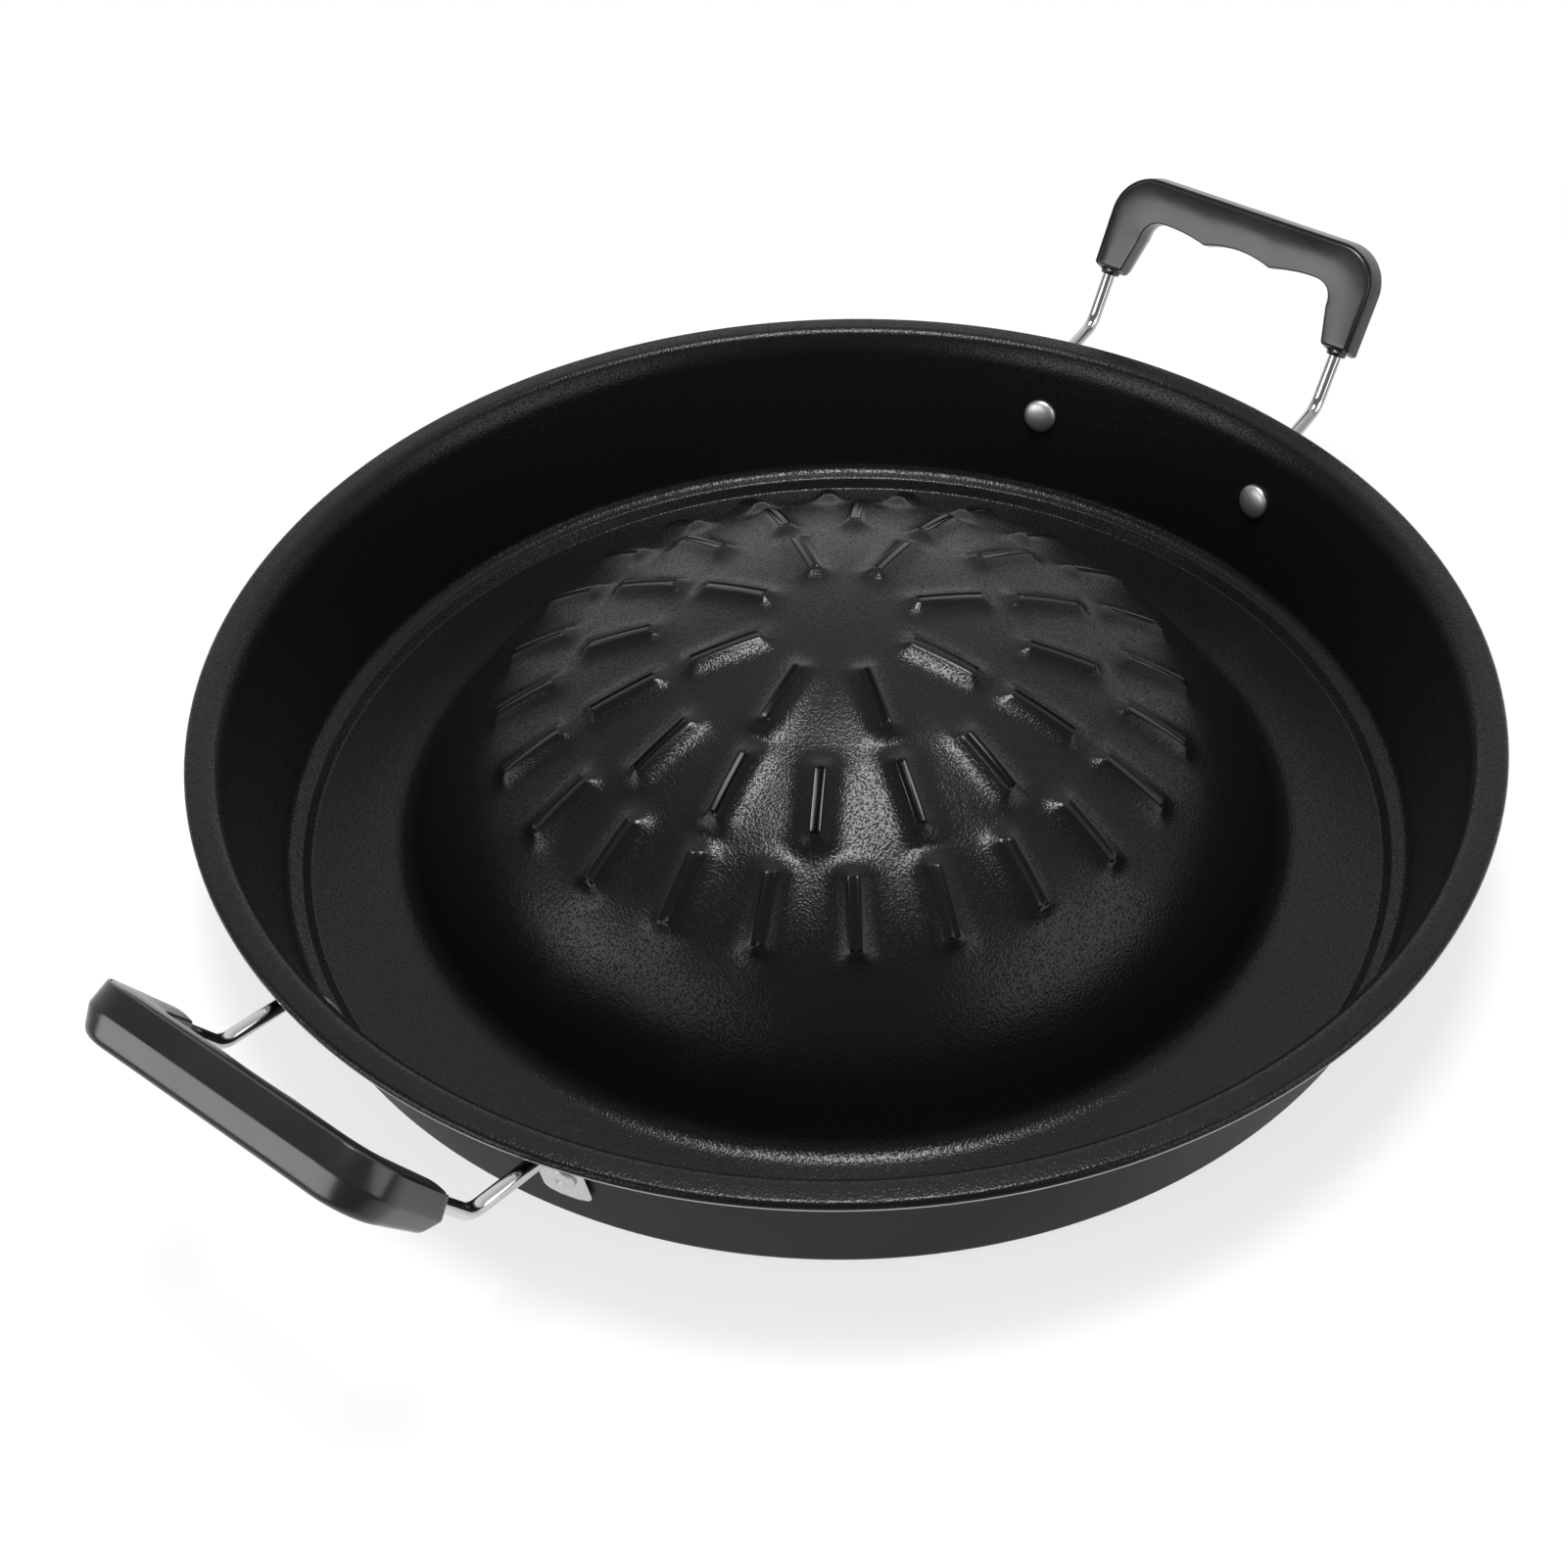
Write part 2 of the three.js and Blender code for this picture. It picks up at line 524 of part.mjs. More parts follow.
// One handle as it stands at +X: wire, grip and two rivets. The rivets' names say which end of the wire they hold.
function handle(side, [negativeY, positiveY]) {
  const wire = halfWire();
  const ends = { [negativeY]: -paddleAzimuth, [positiveY]: paddleAzimuth };
  let rod = wireFrom(wire.stations, 0);
  for (const azimuth of Object.values(ends)) rod = rod.subtract(rivetBore(azimuth));
  const group = new THREE.Group();
  group.name = `handle_${side}`;
  group.add(piece(`handle_wire_${side}`, rod, chrome));
  group.add(piece(`handle_grip_${side}`, grip(wire), phenolic));
  for (const [end, azimuth] of Object.entries(ends)) {
    group.add(piece(`rivet_${side}_${end}`, rivet(azimuth), satinSteel));
  }
  return group;
}

// The left handle is the right one turned half round the pan, so its ends change places
const right = handle("right", ["front", "rear"]);
const left = handle("left", ["rear", "front"]);
left.rotation.z = Math.PI;
const rivetAzimuths = [0, Math.PI].flatMap((turn) => [turn - paddleAzimuth, turn + paddleAzimuth]);

const pan = new THREE.Group();
pan.name = "hot_pot_grill_pan";
pan.add(piece("pan_body", panBody(rivetAzimuths), coating), right, left);

export default pan;
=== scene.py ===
"""Looks of a hot pot grill pan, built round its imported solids.

Each solid is replaced by a finely meshed skin of the same size in the same place. The part's sizes are in
millimetres and its angles in degrees, in its own frame: +Z up, the moat's underside on Z = 0, the handles
along X. The studio's sizes are in metres.
"""

import logging
import math
from dataclasses import dataclass, field
from enum import Enum

import bpy
import numpy as np
from mathutils import Matrix

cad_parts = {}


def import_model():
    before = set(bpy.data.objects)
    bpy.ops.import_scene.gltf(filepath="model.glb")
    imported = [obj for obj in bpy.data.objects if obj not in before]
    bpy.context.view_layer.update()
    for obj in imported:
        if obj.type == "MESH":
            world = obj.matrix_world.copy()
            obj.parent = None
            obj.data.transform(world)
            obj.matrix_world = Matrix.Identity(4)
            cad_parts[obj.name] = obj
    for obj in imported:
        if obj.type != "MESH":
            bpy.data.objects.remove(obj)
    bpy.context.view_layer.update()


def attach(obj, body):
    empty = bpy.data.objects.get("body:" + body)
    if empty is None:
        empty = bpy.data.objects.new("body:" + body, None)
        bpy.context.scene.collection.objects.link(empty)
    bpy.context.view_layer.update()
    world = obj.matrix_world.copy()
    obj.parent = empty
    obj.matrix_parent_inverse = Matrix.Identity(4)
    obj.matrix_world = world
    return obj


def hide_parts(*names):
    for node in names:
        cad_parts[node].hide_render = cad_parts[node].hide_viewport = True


LOG = logging.getLogger("hot_pot_grill_pan")
BODY = "root"
MM = 0.001
QUARTER = 90.0
HALF_TURN = 180.0
FULL_TURN = 360.0
TO_MIDDLE = np.array([1.0, 0.0, 1.0])  # takes a handle's point to the plane Y = 0

Array = np.ndarray
Colour = tuple[float, float, float]
Range = tuple[float, float]
Material = bpy.types.Material
Node = bpy.types.Node
Object = bpy.types.Object
Socket = bpy.types.NodeSocket
Tree = bpy.types.NodeTree


class Slot(Enum):
    """Material slots of the record."""

    COATING = "coating"
    CHROME = "chrome"
    RIVET_STEEL = "rivet_steel"
    PHENOLIC = "phenolic"


class Side(Enum):
    """The two handles, with the factor that turns +X and +Y to their side of the pan."""

    RIGHT = 1.0
    LEFT = -1.0

    @property
    def word(self) -> str:
        """The side's name in the nodes' names."""
        return self.name.lower()


# Plane and space geometry


def unit(vectors: Array) -> Array:
    """Vectors scaled to length one along the last axis."""
    return vectors / np.linalg.norm(vectors, axis=-1, keepdims=True)


def heading(angle: Array | float) -> Array:
    """Unit vectors in a plane at angles in degrees."""
    turned = np.radians(angle)
    return np.stack([np.cos(turned), np.sin(turned)], axis=-1)


def between(start: Array, end: Array, share: Array) -> Array:
    """Points on the straight line from start to end at shares of its length."""
    return np.asarray(start) + (np.asarray(end) - np.asarray(start)) * share[:, None]


def curve(start: Array, pull: Array, end: Array, share: Array) -> Array:
    """Points of the quadratic curve from start to end that is pulled towards one point."""
    near = between(start, pull, share)
    far = between(pull, end, share)
    return near + (far - near) * share[:, None]


def smooth(share: Array) -> Array:
    """A share from 0 to 1 eased at both ends."""
    held = np.clip(share, 0.0, 1.0)
    return held * held * (3.0 - 2.0 * held)


def swung(point: Array, azimuth: float) -> Array:
    """A point of radius and height in a radial section, swung round to an azimuth in radians."""
    return np.array([point[0] * math.cos(azimuth), point[0] * math.sin(azimuth), point[1]])


def round_at(azimuth: float) -> Array:
    """Direction round the pan at an azimuth in radians."""
    return np.array([-math.sin(azimuth), math.cos(azimuth), 0.0])


def stretch(start: Array, end: Array, spacing: float) -> Array:
    """Shares of a straight stretch in even steps no longer than a spacing, without its start."""
    steps = max(1, math.ceil(np.linalg.norm(end - start) / spacing))
    return np.linspace(0.0, 1.0, steps + 1)[1:]


def rounded_line(corners: list[Array], radii: list[float], steps: int, spacing: float) -> tuple[Array, Array]:
    """A line through corners whose inner corners are arcs that touch both stretches.

    An arc of radius r starts r tan(turn / 2) before its corner and runs start + r (u sin a + w (1 - cos a)),
    where u is the incoming direction, w the direction square to it towards the outgoing one and a grows to
    the turn.

    Args:
        corners: The line's ends and corners.
        radii: Radius at each inner corner.
        steps: Steps of each arc.
        spacing: Longest step on a straight stretch.

    Returns:
        Points and directions along the line.
    """
    here, last = corners[0], corners[-1]
    points, directions = [here[None]], [unit(corners[1] - here)[None]]
    for before, corner, after, radius in zip(corners, corners[1:], corners[2:], radii):
        coming, going = unit(corner - before), unit(after - corner)
        turn = math.acos(np.clip(coming @ going, -1.0, 1.0))
        aside = unit(going - coming * (coming @ going))
        start = corner - coming * radius * math.tan(turn / 2)
        share = stretch(here, start, spacing)[:-1]
        points.append(between(here, start, share))
        directions.append(np.repeat(coming[None], len(share), axis=0))
        angle = np.linspace(0.0, turn, steps + 1)[:, None]
        points.append(start + radius * (coming * np.sin(angle) + aside * (1 - np.cos(angle))))
        directions.append(coming * np.cos(angle) + aside * np.sin(angle))
        here = points[-1][-1]
    share = stretch(here, last, spacing)
    points.append(between(here, last, share))
    directions.append(np.repeat(unit(last - here)[None], len(share), axis=0))
    return np.concatenate(points), np.concatenate(directions)


def carried(directions: Array, first: Array) -> Array:
    """A sideways direction carried along a line without twist, station by station."""
    across = [unit(first)]
    for along in directions[1:]:
        across.append(unit(across[-1] - along * (across[-1] @ along)))
    return np.stack(across)


def rounded_loop(corners: list[Array], radii: list[float], steps: int) -> Array:
    """Closed sections with eased corners, all stations at once.

    Near a corner the section leaves the straight edges a radius away from it and follows the quadratic curve
    that is pulled towards the corner. A radius of zero keeps the corner as one point.

    Args:
        corners: One array of points per corner, a point for each station.
        radii: Easing of each corner.
        steps: Steps of each eased corner.

    Returns:
        Points by station and place round the section.
    """
    share = np.linspace(0.0, 1.0, steps + 1)[None, :, None]
    columns = []
    for i, corner in enumerate(corners):
        if radii[i] == 0.0:
            columns.append(corner[:, None])
            continue
        before = corner + unit(corners[i - 1] - corner) * radii[i]
        after = corner + unit(corners[(i + 1) % len(corners)] - corner) * radii[i]
        near = before[:, None] + (corner - before)[:, None] * share
        far = corner[:, None] + (after - corner)[:, None] * share
        columns.append(near + (far - near) * share)
    return np.concatenate(columns, axis=1)


# Meshes and objects

LAY = "lay"  # attribute with the values of each vertex that finishes follow
FAR = 100.0  # lay of a vertex that no mark is near


def add_object(name: str, data: bpy.types.ID) -> Object:
    """A new object in the scene."""
    made = bpy.data.objects.new(name, data)
    bpy.context.scene.collection.objects.link(made)
    return made


def stand(made: Object, place: Array, turn: Array) -> None:
    """Puts an object at a place in metres, its own axes along the columns of a matrix."""
    made.matrix_world = Matrix.Translation(place.tolist()) @ Matrix(turn.tolist()).to_4x4()


@dataclass
class Skin:
    """A closed surface that is put together from rings of vertices.

    Each ring's vertices run the same way round; the side of the faces is set right when the piece is made.
    """

    vertices: list[Array] = field(default_factory=list)
    faces: list[Array] = field(default_factory=list)
    finishes: list[Array] = field(default_factory=list)
    lay: list[Array] = field(default_factory=list)
    count: int = 0

    def add_vertices(self, points: Array, lay: Array | None = None) -> int:
        """Adds vertices with their lay and returns the number of the first."""
        flat = points.reshape(-1, 3)
        first = self.count
        self.vertices.append(flat)
        self.lay.append(np.full_like(flat, FAR) if lay is None else lay.reshape(-1, 3))
        self.count += len(flat)
        return first

    def add_faces(self, faces: Array, finish: Array | int = 0) -> None:
        """Adds faces with the number of their finish."""
        self.faces.append(faces)
        self.finishes.append(np.broadcast_to(np.asarray(finish), (len(faces),)))

    def grid(self, points: Array, lay: Array | None = None, finish: Array | int = 0) -> tuple[int, int]:
        """Adds rings of vertices, given by ring and place, and the quads between them.

        Args:
            points: Points by ring and place round it.
            lay: Lay of the same shape.
            finish: Number of the finish, or one for each band between two rings.

        Returns:
            Numbers of the first vertex of the first and of the last ring.
        """
        rings, columns = points.shape[:2]
        first = self.add_vertices(points, lay)
        ring = np.arange(rings - 1)[:, None] * columns
        near = np.arange(columns)[None, :]
        far = (near + 1) % columns
        quads = np.stack([ring + near, ring + far, ring + columns + far, ring + columns + near], axis=-1)
        bands = np.broadcast_to(np.asarray(finish), (rings - 1,))
        self.add_faces(quads.reshape(-1, 4) + first, np.repeat(bands, columns))
        return first, first + (rings - 1) * columns

    def close(self, ring: int, columns: int, centre: Array, at_start: bool, finish: int = 0) -> None:
        """Closes a ring with triangles to one point."""
        pole = self.add_vertices(np.asarray(centre))
        near = np.arange(columns)
        far = (near + 1) % columns
        sides = (far, near) if at_start else (near, far)
        self.add_faces(np.stack([ring + sides[0], ring + sides[1], np.full(columns, pole)], axis=-1), finish)

    def tube(self, rings: Array, start: Array, end: Array, lay: Array | None = None) -> None:
        """Adds rings of vertices and closes the first and the last one to points."""
        columns = rings.shape[1]
        first, last = self.grid(rings, lay)
        self.close(first, columns, start, at_start=True)
        self.close(last, columns, end, at_start=False)

    def halve(self, fine: int, coarse: int, columns: int) -> None:
        """Joins a ring of twice so many vertices to a ring of so many."""
        near = np.arange(columns)
        far = (near + 1) % columns
        first, middle, last = fine + 2 * near, fine + 2 * near + 1, fine + 2 * far
        near, far = coarse + near, coarse + far
        for corners in ((first, middle, near), (middle, last, far), (middle, far, near)):
            self.add_faces(np.stack(corners, axis=-1))

    def volume(self) -> float:
        """Signed volume in sixths of the corners' triple products, positive where faces point outwards."""
        points = np.concatenate(self.vertices)
        total = 0.0
        for faces in self.faces:
            for i in range(1, faces.shape[1] - 1):
                a, b, c = points[faces[:, 0]], points[faces[:, i]], points[faces[:, i + 1]]
                total += float(np.sum(a * np.cross(b, c)))
        return total / 6.0

    def piece(self, name: str, node: str, materials: list[Material]) -> None:
        """Makes the mesh object that stands for a node and rides on the part's only body.

        Args:
            name: Name of the piece.
            node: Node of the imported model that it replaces.
            materials: Finishes, by the numbers given to the faces.
        """
        outward = self.volume() > 0
        faces = [part if outward else part[:, ::-1] for part in self.faces]
        mesh = bpy.data.meshes.new(name)
        corners = [corner for part in faces for corner in part.tolist()]
        mesh.from_pydata((np.concatenate(self.vertices) * MM).tolist(), [], corners)
        for material in materials:
            mesh.materials.append(material)
        mesh.polygons.foreach_set("material_index", np.concatenate(self.finishes).astype(np.int32))
        mesh.polygons.foreach_set("use_smooth", np.ones(len(mesh.polygons), dtype=bool))
        lay = mesh.attributes.new(LAY, "FLOAT_VECTOR", "POINT")
        lay.data.foreach_set("vector", np.concatenate(self.lay).astype(np.float32).ravel())
        mesh.update()
        made = add_object(name, mesh)
        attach(made, BODY)
        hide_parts(node)
        LOG.info("%s: %d faces", name, len(mesh.polygons))


# Shader nodes

WHITE = (1.0, 1.0, 1.0, 1.0)
UNIT = (0.0, 1.0)
FADE = (1.0, 0.0)
NOISE_RANGE = (0.3, 0.7)  # where most heights of a noise lie
CLOUD_OCTAVES = 3.0
GRAIN_OCTAVES = 2.0
PEEL_OCTAVES = 1.0
MIX_SHARE, MIX_LOW, MIX_HIGH = 0, 6, 7  # a colour mix's inputs by number
MIX_RESULT = 2  # its output


@dataclass
class Wiring:
    """Adds and links the nodes of one shader tree."""

    tree: Tree

    def add(self, kind: str, **settings: object) -> Node:
        """A node of a kind with some of its properties set."""
        node = self.tree.nodes.new(f"ShaderNode{kind}")
        for name, value in settings.items():
            setattr(node, name, value)
        return node

    def feed(self, node: Node, sources: dict[str | int, Socket | float | tuple[float, ...]]) -> None:
        """Links sockets to a node's inputs, or sets an input where its source is a plain value."""
        for name, source in sources.items():
            if isinstance(source, Socket):
                self.tree.links.new(source, node.inputs[name])
            else:
                node.inputs[name].default_value = source

    def effect(self, group: Tree, **values: float) -> Socket:
        """The output of a shared effect with its values set."""
        node = self.add("Group", node_tree=group)
        self.feed(node, values)
        return node.outputs[0]

    def place(self) -> Socket:
        """Place in the piece's own space, in metres."""
        return self.add("TexCoord").outputs["Object"]

    def lay(self) -> Socket:
        """Lay that is stored on the piece."""
        return self.add("Attribute", attribute_name=LAY).outputs["Vector"]

    def parts(self, vector: Socket) -> list[Socket]:
        """The X, Y and Z of a vector."""
        node = self.add("SeparateXYZ")
        self.feed(node, {"Vector": vector})
        return list(node.outputs)

    def ranged(self, source: Socket, span: Range, to: Range) -> Socket:
        """A value mapped from one range to another, held at its ends."""
        node = self.add("MapRange")
        ends = {"From Min": span[0], "From Max": span[1], "To Min": to[0], "To Max": to[1]}
        self.feed(node, {"Value": source, **ends})
        return node.outputs["Result"]

    def blended(self, mask: Socket, low: Colour | Socket, high: Colour) -> Socket:
        """A colour that runs from one to another with a mask; the low one may come from other nodes."""
        node = self.add("Mix", data_type="RGBA")
        from_low = low if isinstance(low, Socket) else (*low, 1.0)
        self.feed(node, {MIX_SHARE: mask, MIX_LOW: from_low, MIX_HIGH: (*high, 1.0)})
        return node.outputs[MIX_RESULT]

    def combined(self, operation: str, first: Socket, *others: Socket | float) -> Socket:
        """Values put together one after another by a math operation."""
        result = first
        for other in others:
            node = self.add("Math", operation=operation)
            self.feed(node, {0: result, 1: other})
            result = node.outputs["Value"]
        return result

    def bump(self, height: Socket, depth: float, under: Socket | None = None) -> Socket:
        """A normal that follows a height, a depth in millimetres at its full range, over another normal."""
        node = self.add("Bump")
        self.feed(node, {"Distance": depth * MM, "Height": height})
        if under is not None:
            self.feed(node, {"Normal": under})
        return node.outputs["Normal"]


@dataclass(frozen=True)
class Effects:
    """Shader node groups that the finishes share, each with one output."""

    grain: Tree
    flakes: Tree
    streaks: Tree

    @classmethod
    def build(cls) -> "Effects":
        """Builds each group once."""
        return cls(
            grain=cls.make_noise("grain", follows_lay=False),
            flakes=cls.make_flakes(),
            streaks=cls.make_noise("streaks", follows_lay=True),
        )

    @staticmethod
    def group(name: str, inputs: tuple[str, ...], output: str) -> tuple[Wiring, bpy.types.NodeOutputs, Node]:
        """An empty group with value sockets: its wiring, its given values and the node of its result."""
        tree = bpy.data.node_groups.new(name, "ShaderNodeTree")
        for label in inputs:
            tree.interface.new_socket(name=label, in_out="INPUT", socket_type="NodeSocketFloat")
        tree.interface.new_socket(name=output, in_out="OUTPUT", socket_type="NodeSocketFloat")
        return Wiring(tree), tree.nodes.new("NodeGroupInput").outputs, tree.nodes.new("NodeGroupOutput")

    @classmethod
    def make_noise(cls, name: str, follows_lay: bool) -> Tree:
        """Cloudy noise of the piece's own space or of its lay.

        Scale is in cells per metre or per unit of lay, Detail in octaves.
        """
        wiring, given, result = cls.group(name, ("Scale", "Detail"), "Height")
        noise = wiring.add("TexNoise")
        way = wiring.lay() if follows_lay else wiring.place()
        wiring.feed(noise, {"Vector": way, "Scale": given["Scale"], "Detail": given["Detail"]})
        wiring.feed(result, {"Height": noise.outputs["Fac"]})
        return wiring.tree

    @classmethod
    def make_flakes(cls) -> Tree:
        """Scattered small spots.

        Scale is in cells per metre, Share that of cells with a spot, Reach that of a spot in its cell.
        """
        wiring, given, result = cls.group("flakes", ("Scale", "Share", "Reach"), "Mask")
        cells = wiring.add("TexVoronoi")
        wiring.feed(cells, {"Vector": wiring.place(), "Scale": given["Scale"]})
        draw = wiring.add("SeparateColor")
        wiring.feed(draw, {"Color": cells.outputs["Color"]})
        chosen = wiring.combined("LESS_THAN", draw.outputs["Red"], given["Share"])
        near = wiring.combined("LESS_THAN", cells.outputs["Distance"], given["Reach"])
        wiring.feed(result, {"Mask": wiring.combined("MULTIPLY", chosen, near)})
        return wiring.tree


# Finishes


def new_material(name: str) -> tuple[Material, Wiring, Node]:
    """A material with its wiring and its principled shader."""
    material = bpy.data.materials.new(name)
    material.use_nodes = True
    return material, Wiring(material.node_tree), material.node_tree.nodes["Principled BSDF"]


def per_metre(size: float) -> float:
    """Cells per metre of a grain whose size is in millimetres."""
    return 1.0 / (size * MM)


@dataclass(frozen=True)
class CookingCoat:
    """Black non-stick coat: a glossy ground with dull sandy pits, rib crests hollow between two fine edges.

    The sand fades next to the crests. Along their middle the crests carry painted shade, less on the lowest
    ring of ribs.
    The dull pits and the painted crest shade are part metal of the coat's own black, which takes their gloss
    away.
    """

    colour: Colour = (0.0052, 0.0052, 0.0053)
    pit_colour: Colour = (0.0082, 0.0082, 0.0084)
    refraction: float = 1.33
    roughness: Range = (0.15, 0.19)
    cloud: float = 28.0
    grain: float = 0.64
    grain_depth: float = 0.125
    pit_heights: Range = (0.4, 0.54)
    pit_roughness: float = 0.45
    pit_dullness: float = 0.62
    smooth_near_rib: Range = (0.5, 2.2)
    rib_grain: float = 0.1
    # painted shade along the crests' middle, and its share on the lowest ring of ribs
    crest_painted_shade: float = 0.8
    lower_ring: Range = (52.5, 56.5)
    lower_ring_painted_shade: float = 0.15
    crest_line: float = 1.25
    crest_line_reach: float = 0.3
    crest_end: Range = (8.9, 9.5)
    crest_depth: float = 0.35

    def material(self, effects: Effects) -> Material:
        """Builds the finish, which reads distances from the nearest rib in the lay."""
        material, wiring, shader = new_material("cooking_coat")
        grain = wiring.effect(effects.grain, Scale=per_metre(self.grain), Detail=GRAIN_OCTAVES)
        cloud = wiring.effect(effects.grain, Scale=self.cloud, Detail=CLOUD_OCTAVES)
        aside, along, outside = wiring.parts(wiring.lay())
        height = wiring.parts(wiring.place())[2]

        open_dome = wiring.ranged(outside, self.smooth_near_rib, (self.rib_grain, 1.0))
        low = wiring.ranged(grain, self.pit_heights, FADE)
        pits = wiring.combined("MULTIPLY", low, open_dome)
        glossy = wiring.ranged(cloud, NOISE_RANGE, self.roughness)
        rough = wiring.combined("MULTIPLY", pits, self.pit_roughness)
        dull_pits = wiring.combined("MULTIPLY", pits, self.pit_dullness)
        sand = wiring.combined("MULTIPLY", grain, open_dome)

        line, reach = self.crest_line, self.crest_line_reach
        before_end = wiring.ranged(along, self.crest_end, FADE)
        # painted shade: the crest's middle is darkened, fully on the upper rings and less on the lowest one
        middle = wiring.ranged(aside, (line - reach, line), (self.crest_painted_shade, 0.0))
        lower_ring = tuple(level * MM for level in self.lower_ring)
        painted_shade_by_ring = wiring.ranged(height, lower_ring, (self.lower_ring_painted_shade, 1.0))
        painted_crest_shade = wiring.combined("MULTIPLY", middle, before_end, painted_shade_by_ring)
        rise = wiring.ranged(aside, (0.0, line), UNIT)
        fall = wiring.ranged(aside, (line, line + reach), FADE)
        edges = wiring.combined("MULTIPLY", rise, fall, before_end)
        crest = wiring.bump(edges, self.crest_depth)
        looks = {
            "IOR": self.refraction,
            "Base Color": wiring.blended(pits, self.colour, self.pit_colour),
            "Roughness": wiring.combined("MAXIMUM", glossy, rough),
            "Metallic": wiring.combined("MAXIMUM", painted_crest_shade, dull_pits),
            "Normal": wiring.bump(sand, self.grain_depth, crest),
        }
        wiring.feed(shader, looks)
        return material


@dataclass(frozen=True)
class OuterCoat:
    """Smooth dark grey coat of the outside, with a faint orange-peel."""

    colour: Colour = (0.005, 0.005, 0.0052)
    pale: Colour = (0.008, 0.008, 0.0083)
    refraction: float = 1.16
    roughness: Range = (0.42, 0.5)
    cloud: float = 22.0
    peel: float = 1.6
    peel_depth: float = 0.02

    def material(self, effects: Effects) -> Material:
        """Builds the finish."""
        material, wiring, shader = new_material("outer_coat")
        peel = wiring.effect(effects.grain, Scale=per_metre(self.peel), Detail=PEEL_OCTAVES)
        cloud = wiring.effect(effects.grain, Scale=self.cloud, Detail=CLOUD_OCTAVES)
        looks = {
            "IOR": self.refraction,
            "Base Color": wiring.blended(cloud, self.colour, self.pale),
            "Roughness": wiring.ranged(cloud, NOISE_RANGE, self.roughness),
            "Normal": wiring.bump(peel, self.peel_depth),
        }
        wiring.feed(shader, looks)
        return material


@dataclass(frozen=True)
class Metal:
    """Bare or plated metal with a haze and fine marks along its lay."""

    name: str
    colour: Colour
    pale: Colour
    roughness: Range
    marks: float
    mark_depth: float
    haze: float = 160.0

    def material(self, effects: Effects) -> Material:
        """Builds the finish."""
        material, wiring, shader = new_material(self.name)
        marks = wiring.effect(effects.streaks, Scale=self.marks, Detail=GRAIN_OCTAVES)
        haze = wiring.effect(effects.grain, Scale=self.haze, Detail=CLOUD_OCTAVES)
        looks = {
            "Metallic": 1.0,
            "Base Color": wiring.blended(haze, self.colour, self.pale),
            "Roughness": wiring.ranged(marks, NOISE_RANGE, self.roughness),
            "Normal": wiring.bump(marks, self.mark_depth),
        }
        wiring.feed(shader, looks)
        return material


@dataclass(frozen=True)
class Phenolic:
    """Black moulded resin, satin gloss, with a faint mould grain and dust-pale spots."""

    colour: Colour = (0.005, 0.005, 0.005)
    pale: Colour = (0.009, 0.009, 0.009)
    dust: Colour = (0.06, 0.06, 0.06)
    dust_cells: float = 500.0
    dust_share: float = 0.01
    dust_reach: float = 0.12
    refraction: float = 1.6
    roughness: Range = (0.2, 0.28)
    cloud: float = 70.0
    grain: float = 0.7
    grain_depth: float = 0.012

    def material(self, effects: Effects) -> Material:
        """Builds the finish."""
        material, wiring, shader = new_material("phenolic")
        grain = wiring.effect(effects.grain, Scale=per_metre(self.grain), Detail=GRAIN_OCTAVES)
        cloud = wiring.effect(effects.grain, Scale=self.cloud, Detail=CLOUD_OCTAVES)
        spots = {"Scale": self.dust_cells, "Share": self.dust_share, "Reach": self.dust_reach}
        dust = wiring.effect(effects.flakes, **spots)
        base = wiring.blended(cloud, self.colour, self.pale)
        looks = {
            "IOR": self.refraction,
            "Base Color": wiring.blended(dust, base, self.dust),
            "Roughness": wiring.ranged(cloud, NOISE_RANGE, self.roughness),
            "Normal": wiring.bump(grain, self.grain_depth),
        }
        wiring.feed(shader, looks)
        return material


CHROME = Metal("chrome", (0.50, 0.51, 0.52), (0.62, 0.63, 0.64), (0.06, 0.14), marks=6.0, mark_depth=0.004)
RIVET_STEEL = Metal(
    "rivet_steel", (0.50, 0.50, 0.51), (0.60, 0.60, 0.61), (0.34, 0.48), marks=4.0, mark_depth=0.01
)
WORN_EDGE = Metal(
    "worn_edge", (0.30, 0.30, 0.30), (0.45, 0.45, 0.45), (0.35, 0.5), marks=2.0, mark_depth=0.01
)


# Pan

COOKING_SIDE, OUTSIDE, CUT_EDGE = range(3)  # numbers of the sheet's finishes


@dataclass(frozen=True)
class Arc:
    """A bend of the sheet in radial section, turning left (1) or right (-1) from one heading to another."""

    centre: Array
    radius: float
    turn: float
    start: float
    end: float

    def sample(self, steps: int, depth: float) -> Array:
        """Points and cooking-side normals, stacked, of the face a depth below the cooking side.

        A point is centre + (radius + turn * depth) times the direction square to the heading, away from the
        centre.
        """
        outward = heading(np.linspace(self.start, self.end, steps + 1) - QUARTER * self.turn)
        return np.stack([self.centre + outward * (self.radius + self.turn * depth), -self.turn * outward])


